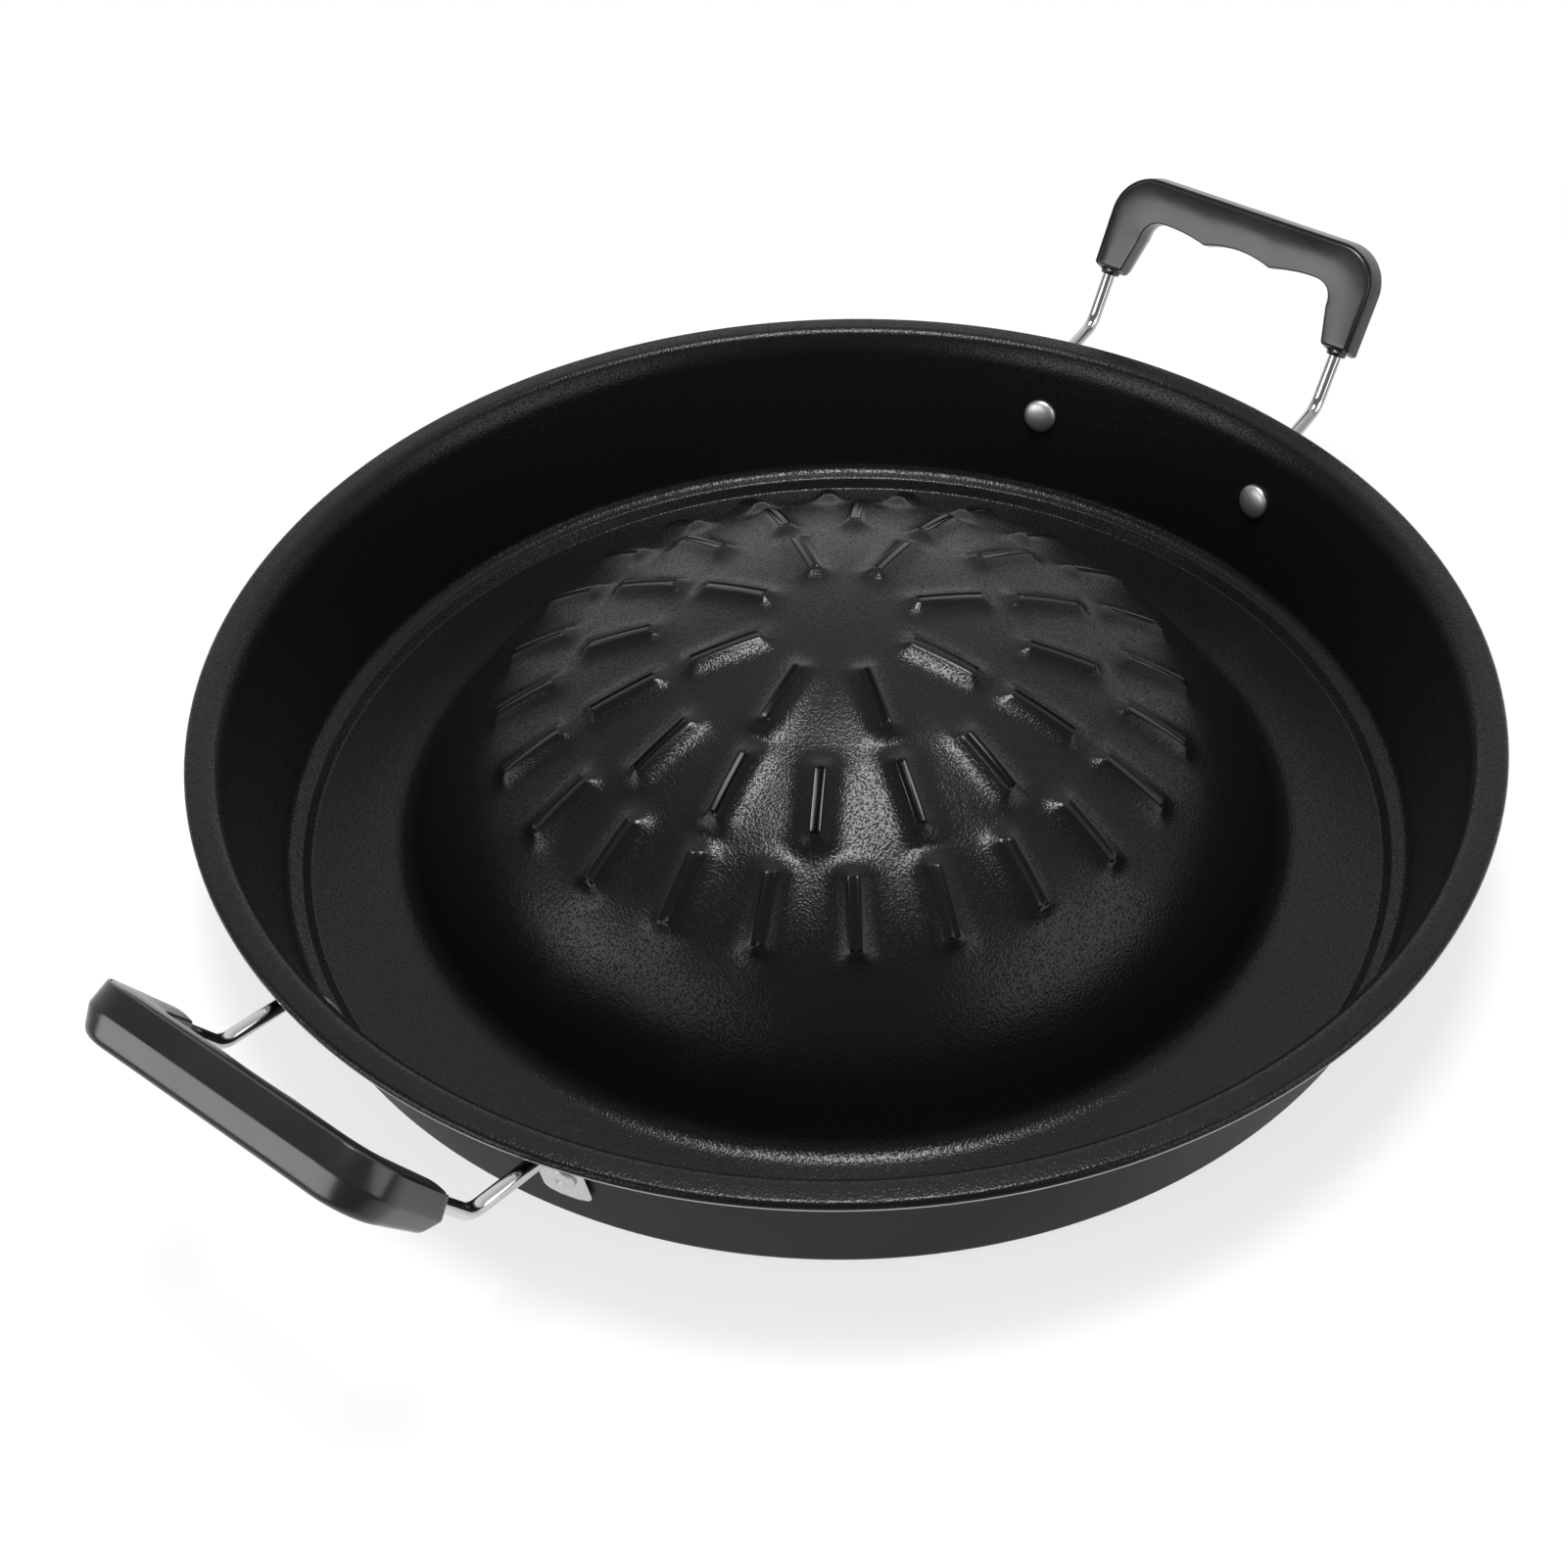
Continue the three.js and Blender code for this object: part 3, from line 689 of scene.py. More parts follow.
@dataclass
class PanSheet:
    """The pressed pan: ribbed dome, moat, step, wall, rim and turned-down lip, one coated sheet.

    Lines of its radial section are arrays of points and of normals, stacked.
    """

    thickness: float = 1.2
    radius: float = 175.0
    height: float = 51.0
    rim_width: float = 7.0
    rim_fillet: float = 3.5
    flare_slope: float = 52.0
    flare_fillet: float = 14.6
    lip_drop: float = 2.0
    lip_fillet: float = 1.6
    lip_rounding: float = 0.3
    wall_foot_radius: float = 156.0
    wall_lean: float = 9.7
    wall_foot_fillet: float = 4.0
    ledge_width: float = 4.0
    ledge_rise: float = 0.8
    step_run: float = 2.2
    step_rise: float = 2.9
    step_foot_fillet: float = 1.0
    step_top_fillet: float = 1.8
    moat_width: float = 22.8
    dome_rise: float = 69.1
    dome_cap_slope: float = 32.8
    dome_flank_slope: float = 66.9
    dome_foot_fillet: float = 8.0
    rib_counts: tuple[int, ...] = (8, 16, 24)
    rib_first_ring: float = 31.0
    rib_ring_step: float = 29.0
    rib_turn: float = 9.6
    rib_height: float = 2.4
    rib_crest_length: float = 18.4
    rib_crest_width: float = 2.2
    rib_flank: float = 2.9
    rib_flank_power: float = 1.35
    rib_margin: float = 16.0
    pole_start: float = 1.5
    fine_columns: int = 480
    column_pull: float = 0.3
    fine_row: float = 0.95
    coarse_row: float = 1.9
    cap_rows: int = 5
    flank_rows: int = 11
    foot_steps: int = 7
    bend_steps: tuple[int, ...] = (4, 6, 6, 8, 8, 7)
    edge_steps: int = 6
    floor_shares: tuple[float, ...] = (0.1, 0.5)
    line_points: int = 600

    def __post_init__(self) -> None:
        """Works out the corners of the section from the sizes."""
        ledge = self.thickness + self.step_rise
        self.wall_foot = np.array([self.wall_foot_radius, ledge + self.ledge_rise])
        self.step_top = np.array([self.wall_foot[0] - self.ledge_width, ledge])
        self.step_foot = np.array([self.step_top[0] - self.step_run, self.thickness])
        self.dome_foot = np.array([self.step_foot[0] - self.moat_width, self.thickness])
        wall_top = np.array([self.wall_foot_radius + self.wall_lean, self.height])
        self.wall_up = unit(wall_top - self.wall_foot)
        self.wall_out = np.array([self.wall_up[1], -self.wall_up[0]])
        self.rim_corner = np.array([self.radius - self.rim_width, self.height])
        flare_up = heading(self.flare_slope)
        sides = np.column_stack([flare_up, self.wall_up])
        self.flare = self.rim_corner - flare_up * np.linalg.solve(sides, self.rim_corner - wall_top)[0]
        self.cap, self.shoulder, self.foot = self.dome_arcs()
        self.cap_length = math.radians(self.dome_cap_slope) * self.cap.radius
        spread = math.radians(self.dome_flank_slope - self.dome_cap_slope)
        self.dome_length = self.cap_length + spread * self.shoulder.radius

    def dome_arcs(self) -> tuple[Arc, Arc, Arc]:
        """Cap, shoulder and foot fillet of the dome, which reach the foot at the stated rise and slopes."""
        cap, flank = heading(self.dome_cap_slope), heading(self.dome_flank_slope)
        out = self.dome_foot[0] - self.dome_foot_fillet * flank[1]
        down = self.dome_rise - self.dome_foot_fillet * (1 - flank[0])
        runs = np.array([[cap[1], flank[1] - cap[1]], [1 - cap[0], cap[0] - flank[0]]])
        cap_radius, shoulder_radius = np.linalg.solve(runs, np.array([out, down]))
        crown = np.array([0.0, self.thickness + self.dome_rise - cap_radius])
        shoulder = crown + np.array([cap[1], cap[0]]) * (cap_radius - shoulder_radius)
        foot = self.dome_foot + np.array([0.0, self.dome_foot_fillet])
        return (
            Arc(crown, cap_radius, -1.0, 0.0, -self.dome_cap_slope),
            Arc(shoulder, shoulder_radius, -1.0, -self.dome_cap_slope, -self.dome_flank_slope),
            Arc(foot, self.dome_foot_fillet, 1.0, -self.dome_flank_slope, 0.0),
        )

    def bowl_arcs(self) -> list[Arc]:
        """Bends from the moat floor to the lip."""
        rim_edge = np.array([self.radius, self.height])
        bends = [
            (self.step_foot, self.step_foot_fillet),
            (self.step_top, self.step_top_fillet),
            (self.wall_foot, self.wall_foot_fillet),
            (self.flare, self.flare_fillet),
            (self.rim_corner, self.rim_fillet),
            (rim_edge, self.lip_fillet),
        ]
        corners = [self.dome_foot, *(bend[0] for bend in bends), rim_edge - np.array([0.0, self.lip_drop])]
        arcs = []
        for before, (corner, fillet), after in zip(corners, bends, corners[2:]):
            start = math.degrees(math.atan2(*(corner - before)[::-1]))
            end = math.degrees(math.atan2(*(after - corner)[::-1]))
            turn = math.copysign(1.0, end - start)
            tangent = fillet * math.tan(math.radians(abs(end - start) / 2))
            centre = corner - heading(start) * tangent + heading(start + QUARTER) * turn * fillet
            arcs.append(Arc(centre, fillet, turn, start, end))
        return arcs

    def dome_line(self, distance: Array, depth: float) -> Array:
        """Line of the dome at distances along its curve from the crown, a depth below the cooking side."""
        beyond = np.maximum(distance - self.cap_length, 0.0)
        slope = (distance - beyond) / self.cap.radius + beyond / self.shoulder.radius
        outward = np.stack([np.sin(slope), np.cos(slope)], axis=-1)
        on_cap = (beyond == 0.0)[:, None]
        centre = np.where(on_cap, self.cap.centre, self.shoulder.centre)
        radius = np.where(on_cap, self.cap.radius, self.shoulder.radius)
        return np.stack([centre + outward * (radius - depth), outward])

    def dome_rows(self, row: float) -> Array:
        """Distances of the dome's rings from the crown, close together where ribs stand."""
        first = self.rib_first_ring - self.rib_margin
        last = self.rib_first_ring + self.rib_ring_step * (len(self.rib_counts) - 1) + self.rib_margin
        cap = np.linspace(self.pole_start, first, self.cap_rows, endpoint=False)
        flank = np.linspace(last, self.dome_length, self.flank_rows + 1)[1:]
        return np.concatenate([cap, np.arange(first, last, row), flank])

    def bowl_line(self, depth: float) -> Array:
        """Line from the moat floor to the lip's edge, on the face a depth below the cooking side."""
        floor = between(self.dome_foot, self.step_foot, np.array(self.floor_shares)) - np.array([0.0, depth])
        up = np.broadcast_to(np.array([0.0, 1.0]), floor.shape)
        bends = [arc.sample(steps, depth) for arc, steps in zip(self.bowl_arcs(), self.bend_steps)]
        return np.concatenate([np.stack([floor, up]), *bends], axis=1)

    def edge_line(self) -> Array:
        """Line round the sheet's cut edge, a flat half ellipse from the cooking side to the underside."""
        turn = heading(np.linspace(0.0, -HALF_TURN, self.edge_steps + 1))
        middle = np.array([self.radius - self.thickness / 2, self.height - self.lip_drop])
        return np.stack([middle + turn * np.array([self.thickness / 2, self.lip_rounding]), turn])

    def off_wall(self, drop: float, outwards: float) -> Array:
        """Point of the section at a drop below the rim, a distance outwards from the wall's inner face."""
        face = self.wall_foot + self.wall_out * outwards
        return face + self.wall_up * (self.height - drop - face[1]) / self.wall_up[1]

    def rib_lay(self, radius: Array, azimuth: Array) -> Array:
        """Distances from the nearest rib, by ring and azimuth: sideways, along it, and outside its crest.

        A rib lies along a meridian: the first two distances are taken from its middle in its own directions,
        and the third from the edge of its crest.
        """
        line = np.linspace(0.0, self.dome_length, self.line_points)
        line_radius = self.dome_line(line, 0.0)[0, :, 0]
        nearest = np.full((*np.broadcast_shapes(radius.shape, azimuth.shape), 3), self.radius)
        for ring, number in enumerate(self.rib_counts):
            middle = self.rib_first_ring + ring * self.rib_ring_step
            pitch = math.tau / number
            turned = (azimuth + pitch / 2) % pitch - pitch / 2
            along = np.interp(radius * np.cos(turned), line_radius, line, right=2 * self.dome_length)
            sideways = np.abs(radius * np.sin(turned))
            lengthways = np.abs(along - middle)
            past_end = np.maximum(lengthways - self.rib_crest_length / 2, 0.0)
            past_side = np.maximum(sideways - self.rib_crest_width / 2, 0.0)
            here = np.stack([sideways, lengthways, np.hypot(past_end, past_side)], axis=-1)
            nearest = np.where(here[..., 2:] < nearest[..., 2:], here, nearest)
        return nearest

    def rings(self, line: Array, columns: int) -> tuple[Array, Array]:
        """Vertices of a turned line by ring and azimuth, raised where ribs stand, and their lay.

        The columns are drawn together where the outer ribs lie: azimuth = t - pull * sin(n t) / n for n ribs.
        With o the distance outside a rib's crest, its height is rib_height * exp(-(o / flank) ** power),
        which makes hollow flanks.
        """
        points, normals = line
        even = np.arange(columns) * math.tau / columns
        most = max(self.rib_counts)
        azimuth = even - self.column_pull * np.sin(most * even) / most
        lay = self.rib_lay(points[:, :1], azimuth[None, :])
        rise = self.rib_height * np.exp(-((lay[..., 2] / self.rib_flank) ** self.rib_flank_power))
        radius = points[:, :1] + normals[:, :1] * rise
        level = points[:, 1:] + normals[:, 1:] * rise
        turned = azimuth[None, :] + math.radians(self.rib_turn)
        return np.stack([radius * np.cos(turned), radius * np.sin(turned), level], axis=-1), lay

    def build(self, effects: Effects) -> None:
        """Builds the sheet as one closed skin and dresses both of its sides and its edge."""
        skin = Skin()
        dome = self.dome_line(self.dome_rows(self.fine_row), 0.0)
        foot = self.foot.sample(self.foot_steps, 0.0)
        first, last = skin.grid(*self.rings(np.concatenate([dome, foot[:, 1:]], axis=1), self.fine_columns))
        skin.close(first, self.fine_columns, [0.0, 0.0, self.thickness + self.dome_rise], at_start=True)

        columns = self.fine_columns // 2
        inner, edge = self.bowl_line(0.0), self.edge_line()
        under_dome = self.dome_line(self.dome_rows(self.coarse_row), self.thickness)
        under_foot = self.foot.sample(self.foot_steps, self.thickness)
        outer = np.concatenate([under_dome[:, :-1], under_foot, self.bowl_line(self.thickness)], axis=1)
        rest = np.concatenate([inner, edge, outer[:, ::-1]], axis=1)
        band = np.arange(rest.shape[1] - 1)
        edge_start = inner.shape[1] - 1
        beyond = np.where(band < edge_start + edge.shape[1], CUT_EDGE, OUTSIDE)
        finish = np.where(band < edge_start, COOKING_SIDE, beyond)
        near, far = skin.grid(*self.rings(rest, columns), finish=finish)
        skin.halve(last, near, columns)
        skin.close(far, columns, [0.0, 0.0, self.dome_rise], at_start=False, finish=OUTSIDE)
        coats = [coat.material(effects) for coat in (CookingCoat(), OuterCoat(), WORN_EDGE)]
        skin.piece("pan", "pan_body", coats)


# Handles

# Points across the grip's crowned face, in shares of its width
CROWN_SHARES = np.linspace(0.1, 0.9, 9)
# Groove along the face, in shares of its width and depth
GROOVE_SECTION = ((1.0, 0.0), (0.7, 1.0), (0.3, 1.0), (0.0, 0.0))
# Rounded end of a foot: share drawn in, and drop
FOOT_ROUNDING = ((0.02, 0.25), (0.07, 0.55), (0.16, 0.8), (0.4, 0.9))
# Boss round the wire, in shares of its radius and rise
BOSS_SECTION = ((1.05, 0.0), (1.0, 0.3), (0.97, 0.85), (0.85, 1.0), (0.4, 1.0))


@dataclass
class HandlePlane:
    """The tilted plane that a handle's wire and grip stand in, at +X."""

    pan: PanSheet
    leg_spacing: float = 80.8
    leg_out: float = 12.1
    bend_drop: float = 4.0
    rise: float = 18.6
    tilt: float = 58.0

    def __post_init__(self) -> None:
        """Works out the plane's directions and places."""
        slope = heading(self.tilt)
        self.leg_side = self.leg_spacing / 2
        self.up = np.array([slope[0], 0.0, slope[1]])
        self.sideways = np.array([0.0, -1.0, 0.0])
        self.inwards = np.cross(self.sideways, self.up)
        self.leg_corner = np.array(
            [self.pan.radius + self.leg_out, self.leg_side, self.pan.height - self.bend_drop]
        )
        self.feet = self.leg_corner * TO_MIDDLE + self.up * self.rise

    def place(self, local: Array) -> Array:
        """Points of the part from sideways distance, height above the feet and depth towards the pan."""
        return self.feet + local @ np.stack([self.sideways, self.up, self.inwards])


def to_side(points: Array, side: Side) -> Array:
    """Points at +X turned to a side of the pan."""
    return points * np.array([side.value, side.value, 1.0])


@dataclass
class Grip:
    """One moulding round the wire: scalloped bar and two limbs, crowned face, ridge behind it, drafted back.

    Its half outline runs from a foot to the middle; heights run along the tilt from the feet.
    """

    plane: HandlePlane
    outside: float = 4.7
    inside_foot: float = 5.0
    inside_top: float = 7.4
    corner: float = 12.5
    inner_corner: float = 7.0
    cusp_height: float = 16.4
    cusp_spacing: float = 22.8
    scallop_depth: float = 1.9
    bar: float = 12.4
    face_depth: Range = (3.3, 4.2)
    ridge_depth: Range = (-2.2, -2.2)
    back_depth: Range = (-7.2, -9.0)
    swell: float = 0.9
    draft: float = 1.6
    inner_draft: float = 1.2
    foot_bevel: float = 1.3
    back_bevel: float = 1.6
    crown: float = 0.6
    groove_from_edge: float = 0.35
    groove_width: float = 0.55
    groove_depth: float = 0.8
    boss_radius: float = 3.1
    boss_rise: float = 1.4
    easing: tuple[float, ...] = (0.5, 0.25, 0.5, 2.4, 1.9, 1.0)
    easing_steps: int = 5
    stretch_steps: int = 14
    middle_steps: int = 12

    @property
    def top(self) -> float:
        """Height of the grip's upper edge."""
        return self.cusp_height + self.scallop_depth + self.bar

    def half_outline(self, outer: float, inner: float, foot: float) -> tuple[Array, Array]:
        """Outer and inner edge of half the outline, station by station from a foot to the middle.

        Limb: two straight lines. Corner: a circle outside, a quadratic curve inside. Bar: a straight line
        outside; inside, an outer scallop that is open towards the limb and half of the middle one, each a
        quadratic curve.

        Args:
            outer: How far the outer edge lies outside the face's.
            inner: The same for the inner edge.
            foot: Height of the foot's end.

        Returns:
            Sideways distances and heights of the outer and of the inner edge.
        """
        side = self.plane.leg_side + self.outside + outer
        corner = self.corner + outer
        corner_height = self.top - self.corner
        crest = corner_height + corner
        foot_inside = self.plane.leg_side - self.inside_foot - inner
        inside = self.plane.leg_side - self.inside_top - inner
        end = inside - self.inner_corner
        cusp = self.cusp_spacing / 2
        level = self.cusp_height - inner
        shoulder = level + self.scallop_depth
        high = level + 2 * self.scallop_depth
        limb = np.linspace(0.0, 1.0, self.stretch_steps + 1)
        onward = limb[1:]
        middle = np.linspace(0.0, 1.0, self.middle_steps + 1)[1:]
        outer_edge = [
            between([side, foot], [side, corner_height], limb),
            np.array([side - corner, corner_height]) + corner * heading(onward * QUARTER),
            between([side - corner, crest], [cusp, crest], onward),
            between([cusp, crest], [0.0, crest], middle),
        ]
        inner_edge = [
            between([foot_inside, foot], [inside, shoulder - self.inner_corner], limb),
            curve([inside, shoulder - self.inner_corner], [inside, shoulder], [end, shoulder], onward),
            curve([end, shoulder], [(end + cusp) / 2, shoulder], [cusp, level], onward),
            curve([cusp, level], [0.0, high], [-cusp, level], middle / 2),
        ]
        return np.concatenate(outer_edge), np.concatenate(inner_edge)

    def edges(self, outer: float, inner: float, foot: float, depth: Range) -> list[Array]:
        """Both edges of a half outline at a depth that runs evenly from the feet to the top."""
        deepened = []
        for edge in self.half_outline(outer, inner, foot):
            level = depth[0] + (depth[1] - depth[0]) * edge[:, 1:] / self.top
            deepened.append(np.concatenate([edge, level], axis=1))
        return deepened

    def sections(self) -> Array:
        """Closed sections of half the grip, by station and place: face, ridge and back with eased corners.

        The face is crowned, and a groove runs along its outer edge.
        """
        face = self.edges(0.0, 0.0, self.foot_bevel, self.face_depth)
        ridge = self.edges(self.swell, 0.0, 0.0, self.ridge_depth)
        back = self.edges(-self.draft, -self.inner_draft, self.back_bevel, self.back_depth)
        inward = np.array([0.0, 0.0, 1.0])
        across = face[0] - face[1]
        crowned = []
        for share in CROWN_SHARES:
            crowned.append(face[1] + across * share + inward * self.crown * math.sin(math.pi * share))
        groove = []
        for width, depth in GROOVE_SECTION:
            from_edge = self.groove_from_edge + self.groove_width * width
            groove.append(face[0] - unit(across) * from_edge - inward * self.groove_depth * depth)
        corners = [face[1], *crowned, *groove, face[0], ridge[0], back[0], back[1], ridge[1]]
        plain = [0.0] * (len(crowned) + len(groove))
        return rounded_loop(corners, [self.easing[0], *plain, *self.easing[1:]], self.easing_steps)

    def foot_rows(self, loop: Array) -> Array:
        """Rings that close a foot: its end rounds in, then a short boss stands round the wire.

        The end's rings are the foot's section drawn towards its middle by a share, and lowered. The boss's
        are circles about the wire.
        """
        axis = np.array([self.plane.leg_side, 0.0])
        flat = loop[:, [0, 2]]
        middle = (flat.min(axis=0) + flat.max(axis=0)) / 2
        rows = []
        for share, drop in FOOT_ROUNDING:
            drawn = middle + (flat - middle) * (1 - share)
            rows.append(np.stack([drawn[:, 0], loop[:, 1] * (1 - share) - drop, drawn[:, 1]], axis=1))
        floor = rows[-1][:, 1].mean()
        spoke = unit(flat - middle)
        for radius, drop in BOSS_SECTION:
            ring = axis + spoke * self.boss_radius * radius
            height = np.full(len(ring), floor - self.boss_rise * drop)
            rows.append(np.stack([ring[:, 0], height, ring[:, 1]], axis=1))
        return np.stack(rows[::-1])

    def build(self, side: Side, finish: Material) -> None:
        """Builds and dresses the grip of one side."""
        half = self.sections()
        half = np.concatenate([self.foot_rows(half[0]), half])
        mirrored = half[:-1][::-1] * np.array([-1.0, 1.0, 1.0])
        rings = to_side(self.plane.place(np.concatenate([half, mirrored])), side)
        skin = Skin()
        skin.tube(rings, rings[0].mean(axis=0), rings[-1].mean(axis=0))
        name = f"grip_{side.word}"
        skin.piece(name, f"handle_{name}", [finish])


@dataclass
class Wire:
    """A chromed rod bent to a U, its ends flattened and laid on the wall under the rim."""

    plane: HandlePlane
    grip: Grip
    diameter: float = 4.0
    fit: float = 0.3
    wall_bend_drop: float = 8.4
    wall_bend: float = 5.0
    leg_bend: float = 8.0
    bar_bend: float = 8.0
    paddle_width: float = 12.7
    paddle_end: float = 11.0
    paddle_corner: float = 3.0
    paddle_power: float = 0.45
    flat_past_rivet: float = 4.6
    rivet_drop: float = 21.0
    sides: int = 32
    bend_steps: int = 10
    spacing: float = 0.8
    lay_length: float = 40.0

    def __post_init__(self) -> None:
        """Works out where the flattened ends lie on the wall."""
        pan = self.plane.pan
        self.radius = self.diameter / 2
        self.thin = math.pi * self.radius**2 / self.paddle_width / 2
        self.wall_gap = pan.thickness + self.fit
        self.wall_corner = pan.off_wall(self.wall_bend_drop, self.wall_gap + self.radius)
        self.azimuth = math.asin(self.plane.leg_side / self.wall_corner[0])

    def stations(self) -> tuple[Array, Array, Array]:
        """Places, directions and half sizes with squareness, from a flattened end to the bar's middle."""
        pan, plane = self.plane.pan, self.plane
        corner = swung(self.wall_corner, self.azimuth)
        bar = plane.leg_corner + plane.up * (plane.rise + self.grip.top - self.grip.bar / 2)
        lowest = self.rivet_drop + self.paddle_end
        start = swung(pan.off_wall(lowest, self.wall_gap + self.radius), self.azimuth)
        corners = [start, corner, plane.leg_corner, bar, bar * TO_MIDDLE]
        radii = [self.wall_bend, self.leg_bend, self.bar_bend]
        at, along = rounded_line(corners, radii, self.bend_steps, self.spacing)
        run = np.concatenate([[0.0], np.cumsum(np.linalg.norm(np.diff(at, axis=0), axis=1))])
        flat_end = self.paddle_end / pan.wall_up[1] + self.flat_past_rivet
        length = float(np.linalg.norm(corner - start)) - self.wall_bend
        eased = smooth((run - flat_end) / (length - flat_end))
        cut = np.clip(self.paddle_corner - run, 0.0, self.paddle_corner)
        wide = self.paddle_width / 2 - self.paddle_corner + np.sqrt(self.paddle_corner**2 - cut**2)
        wide = wide + (self.radius - wide) * eased
        thick = self.thin + (self.radius - self.thin) * eased
        power = self.paddle_power + (1.0 - self.paddle_power) * eased
        at = at - swung(pan.wall_out, self.azimuth) * (self.radius - thick)[:, None]
        return at, along, np.stack([wide, thick, power], axis=1)

    def build(self, side: Side, finish: Material) -> None:
        """Builds and dresses the wire of one side: a superellipse along the bent line, mirrored in Y."""
        at, along, sizes = self.stations()
        across = carried(along, round_at(self.azimuth))
        upright = np.cross(along, across)
        round_it = heading(np.arange(self.sides) * FULL_TURN / self.sides)
        power = sizes[:, 2, None, None]
        squared = np.sign(round_it) * np.abs(round_it)[None] ** power
        half = at[:, None] + across[:, None] * (squared[..., 0] * sizes[:, :1])[..., None]
        half = half + upright[:, None] * (squared[..., 1] * sizes[:, 1:2])[..., None]
        mirrored = half[:-1][::-1] * np.array([1.0, -1.0, 1.0])
        rings = to_side(np.concatenate([half, mirrored]), side)
        run = np.arange(len(rings))[:, None, None] / self.lay_length
        lay = np.concatenate(np.broadcast_arrays(round_it[None, :, :1], round_it[None, :, 1:], run), axis=-1)
        skin = Skin()
        skin.tube(rings, rings[0].mean(axis=0), rings[-1].mean(axis=0), lay)
        name = f"wire_{side.word}"
        skin.piece(name, f"handle_{name}", [finish])


@dataclass
class Rivet:
    """A rivet through the wall and a flattened wire end: domed head inside, lower domed tail outside.

    Head and tail sink a little into what they sit on, and taper to the shank.
    """

    wire: Wire
    shank: float = 4.0
    head: float = 10.4
    head_rise: float = 2.3
    head_sink: float = 0.1
    head_taper: float = 0.1
    tail: float = 8.0
    tail_rise: float = 1.5
    tail_sink: float = 0.05
    tail_taper: float = 0.05
    dimple: float = 1.2
    dimple_depth: float = 0.7
    dimple_floor: float = 0.8
    edge: float = 0.5
    dome_steps: int = 9
    columns: int = 48

    def profile(self) -> Array:
        """Radii and distances outwards from the wall's inner face, from the head's top to the tail's."""
        turn = heading(np.linspace(0.0, QUARTER, self.dome_steps + 1))
        head = np.stack([turn[:, 1], -turn[:, 0]], axis=1)
        head = head * np.array([self.head / 2, self.head_rise - self.edge]) - np.array([0.0, self.edge])
        seat = self.wire.wall_gap + 2 * self.wire.thin
        tail = turn * np.array([self.tail / 2, self.tail_rise - self.edge])
        tail = tail + np.array([0.0, seat + self.edge])
        tail = tail[tail[:, 0] > self.dimple]
        sunk = [
            [self.head / 2, self.head_sink],
            [self.shank / 2, self.head_sink + self.head_taper],
            [self.shank / 2, seat - self.tail_sink - self.tail_taper],
            [self.tail / 2, seat - self.tail_sink],
        ]
        floor = tail[-1, 1] - self.dimple_depth
        dimple = [[self.dimple, tail[-1, 1]], [self.dimple_floor * self.dimple, floor], [0.0, floor]]
        return np.concatenate([head, np.array(sunk), tail, np.array(dimple)])

    def build(self, side: Side, azimuth: float, node: str, finish: Material) -> None:
        """Builds and dresses one rivet, its profile turned about the line square to the wall."""
        pan = self.wire.plane.pan
        profile = self.profile()
        axis = swung(pan.wall_out, azimuth)
        across = round_at(azimuth)
        upright = np.cross(axis, across)
        round_it = heading(np.arange(self.columns) * FULL_TURN / self.columns)
        spoke = across * round_it[:, :1] + upright * round_it[:, 1:]
        centre = swung(pan.off_wall(self.wire.rivet_drop, 0.0), azimuth)
        rings = to_side(centre + spoke[None] * profile[:, :1, None] + axis * profile[:, 1:, None], side)
        flat_lay = np.concatenate([profile, np.zeros((len(profile), 1))], axis=1)
        lay = np.broadcast_to(flat_lay[:, None], rings.shape)
        skin = Skin()
        skin.tube(rings[1:-1], rings[0, 0], rings[-1, 0], lay[1:-1])
        skin.piece(f"steel_{node}", node, [finish])


# Studio


@dataclass(frozen=True)
class Softbox:
    """A soft lamp that faces the part's origin from an azimuth, an elevation and a distance in metres.

    Its size is its width and height; its diffuse share keeps matt surfaces at a plain level.
    """

    name: str
    azimuth: float
    elevation: float
    size: tuple[float, float]
    power: float
    distance: float = 1.1
    diffuse: float = 0.3

    def build(self) -> None:
        """Hangs the lamp."""
        lamp = bpy.data.lights.new(self.name, "AREA")
        lamp.shape = "RECTANGLE"
        lamp.size, lamp.size_y = self.size
        lamp.energy = self.power
        lamp.diffuse_factor = self.diffuse
        level, climb = heading(self.elevation)
        back = np.append(heading(self.azimuth) * level, climb)
        right = np.append(heading(self.azimuth + QUARTER), 0.0)
        turn = np.column_stack([right, np.cross(back, right), back])
        stand(add_object(self.name, lamp), back * self.distance, turn)


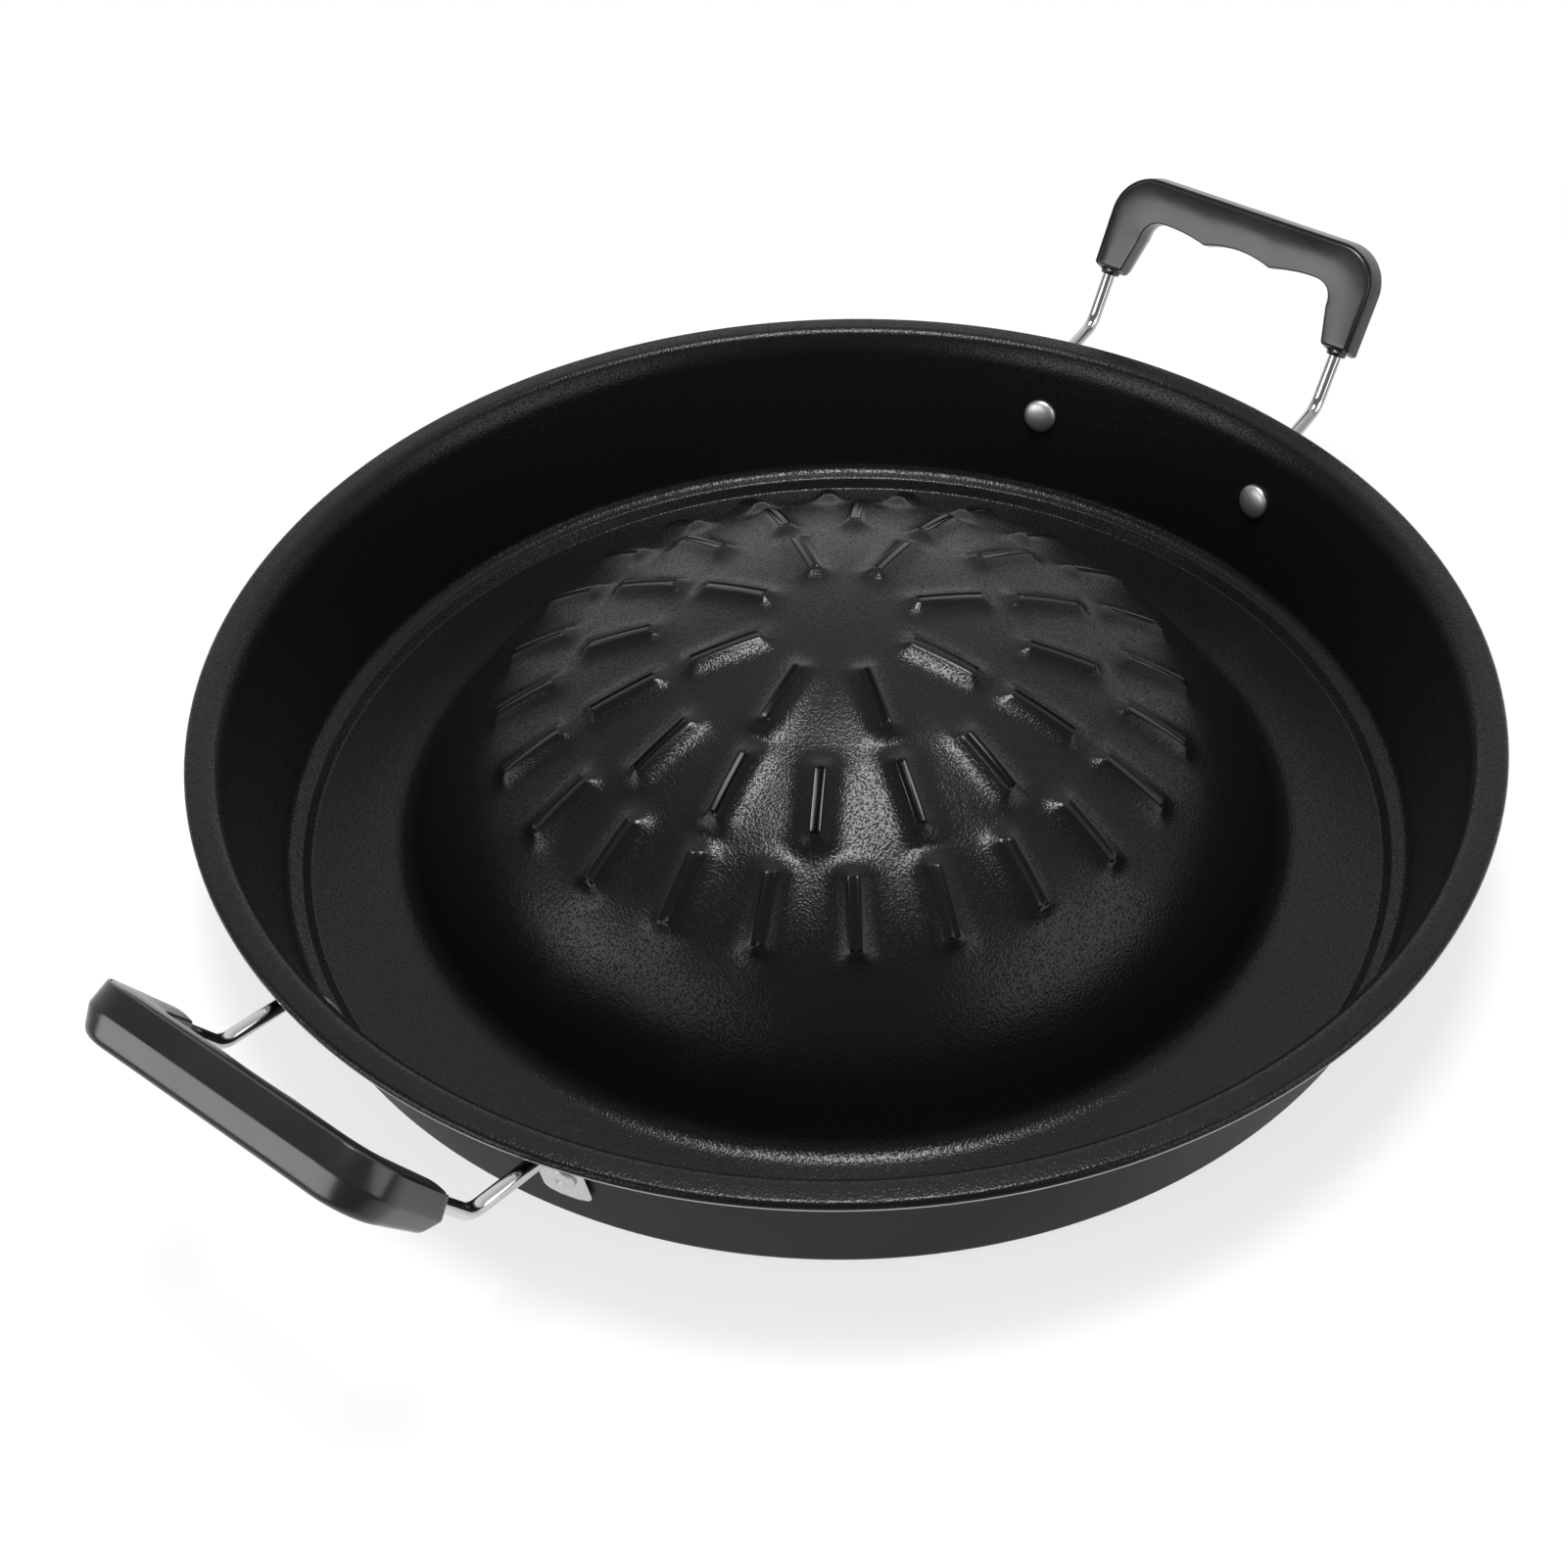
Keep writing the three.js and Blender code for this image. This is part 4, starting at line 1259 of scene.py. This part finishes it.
@dataclass(frozen=True)
class Studio:
    """White surroundings, a pale floor that keeps the shadow, and soft lamps; sizes in metres."""

    rear: tuple[float, float, float] = (0.906, 0.423, 0.0)
    rear_range: Range = (-0.1, 0.8)
    front_share: float = 0.2
    floor_colour: Colour = (0.96, 0.96, 0.96)
    floor_roughness: float = 0.9
    floor_white: float = 0.7
    floor_radius: float = 0.42
    floor_sides: int = 96
    fade_start: float = 0.19
    lamps: tuple[Softbox, ...] = (
        Softbox("softbox_top", 0.0, 90.0, size=(0.45, 0.45), power=16.2, distance=1.3, diffuse=0.25),
        Softbox("softbox_left", azimuth=160.0, elevation=16.5, size=(1.0, 0.76), power=7.8),
        Softbox("softbox_right", azimuth=-81.0, elevation=21.5, size=(0.85, 0.8), power=4.0),
    )

    def world(self) -> None:
        """A white studio that is brightest behind the pan; the camera itself sees plain white."""
        world = bpy.data.worlds.new("studio")
        world.use_nodes = True
        bpy.context.scene.world = world
        wiring = Wiring(world.node_tree)
        to_rear = wiring.add("VectorMath", operation="DOT_PRODUCT")
        wiring.feed(to_rear, {0: wiring.add("TexCoord").outputs["Generated"], 1: self.rear})
        toned = wiring.ranged(to_rear.outputs["Value"], self.rear_range, (self.front_share, 1.0))
        seen = wiring.add("LightPath").outputs["Is Camera Ray"]
        strength = wiring.combined("MAXIMUM", toned, seen)
        wiring.feed(world.node_tree.nodes["Background"], {"Color": WHITE, "Strength": strength})

    def floor(self) -> Object:
        """A pale round floor that fades into the white surroundings."""
        material, wiring, shader = new_material("floor")
        length = wiring.add("VectorMath", operation="LENGTH")
        wiring.feed(length, {0: wiring.place()})
        path = wiring.add("LightPath").outputs
        seen = wiring.combined("MAXIMUM", path["Is Glossy Ray"], path["Is Camera Ray"])
        dimmed = wiring.ranged(seen, UNIT, (1.0, 1.0 - self.floor_white))
        looks = {
            "Base Color": wiring.blended(dimmed, (0.0, 0.0, 0.0), self.floor_colour),
            "Roughness": self.floor_roughness,
            "Specular IOR Level": 0.0,
            "Alpha": wiring.ranged(length.outputs["Value"], (self.fade_start, self.floor_radius), FADE),
            "Emission Color": WHITE,
            "Emission Strength": wiring.combined("MULTIPLY", seen, self.floor_white),
        }
        wiring.feed(shader, looks)
        ring = heading(np.arange(self.floor_sides) * FULL_TURN / self.floor_sides) * self.floor_radius
        vertices = np.concatenate([ring, np.zeros((len(ring), 1))], axis=1)
        mesh = bpy.data.meshes.new("floor")
        mesh.from_pydata(vertices.tolist(), [], [list(range(len(ring)))])
        mesh.materials.append(material)
        return add_object("floor", mesh)

    def build(self) -> None:
        """Sets up the surroundings, the floor and the lamps."""
        bpy.context.scene.view_settings.view_transform = "Standard"
        self.world()
        self.floor()
        for lamp in self.lamps:
            lamp.build()


@dataclass(frozen=True)
class PhotoCamera:
    """The camera at the photo's place, found from the rim's outline, the step's ring and the handles.

    It stands at a distance and elevation from the rim's middle, looks at it, and is then turned a little
    sideways, up and about its own axis. The azimuth is that of the handles' line, seen from the camera.
    """

    distance: float = 638.64
    elevation: float = 40.971
    handle_azimuth: float = 51.92
    yaw: float = 1.410
    pitch: float = -2.640
    roll: float = 1.385
    lens: float = 54.43
    sensor: float = 36.0
    near_clip: float = 10.0

    @staticmethod
    def turned(vector: Array, axis: Array, angle: float) -> Array:
        """A vector turned about an axis."""
        cosine, sine = heading(angle)
        return vector * cosine + np.cross(axis, vector) * sine + axis * (axis @ vector) * (1 - cosine)

    def build(self, aim: float) -> None:
        """Places the camera, which aims at a height on the pan's axis in millimetres."""
        level, climb = heading(self.elevation) * self.distance
        place = np.array([0.0, -level, climb])
        ahead, right = unit(-place), np.array([1.0, 0.0, 0.0])
        up = np.cross(right, ahead)
        ahead, right = self.turned(ahead, up, self.yaw), self.turned(right, up, self.yaw)
        ahead, up = self.turned(ahead, right, self.pitch), self.turned(up, right, self.pitch)
        right, up = self.turned(right, ahead, self.roll), self.turned(up, ahead, self.roll)
        out, side = heading(self.handle_azimuth)
        to_part = np.array([[out, side, 0.0], [-side, out, 0.0], [0.0, 0.0, 1.0]])
        data = bpy.data.cameras.new("photo")
        data.sensor_width = self.sensor
        data.lens = self.lens
        data.clip_start = self.near_clip * MM
        camera = add_object("photo", data)
        spot = (to_part @ place + np.array([0.0, 0.0, aim])) * MM
        stand(camera, spot, to_part @ np.column_stack([right, up, -ahead]))
        bpy.context.scene.camera = camera


def main() -> None:
    """Builds the pan, its handles and the studio in order."""
    logging.basicConfig(level=logging.INFO, format="%(message)s")
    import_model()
    effects = Effects.build()
    pan = PanSheet()
    pan.build(effects)
    plane = HandlePlane(pan)
    grip = Grip(plane)
    wire = Wire(plane, grip)
    rivet = Rivet(wire)
    chrome = CHROME.material(effects)
    steel = RIVET_STEEL.material(effects)
    resin = Phenolic().material(effects)
    for side in Side:
        wire.build(side, chrome)
        grip.build(side, resin)
        for end, sign in (("front", -side.value), ("rear", side.value)):
            rivet.build(side, sign * wire.azimuth, f"rivet_{side.word}_{end}", steel)
    Studio().build()
    PhotoCamera().build(pan.height)


if __name__ == "__main__":
    main()
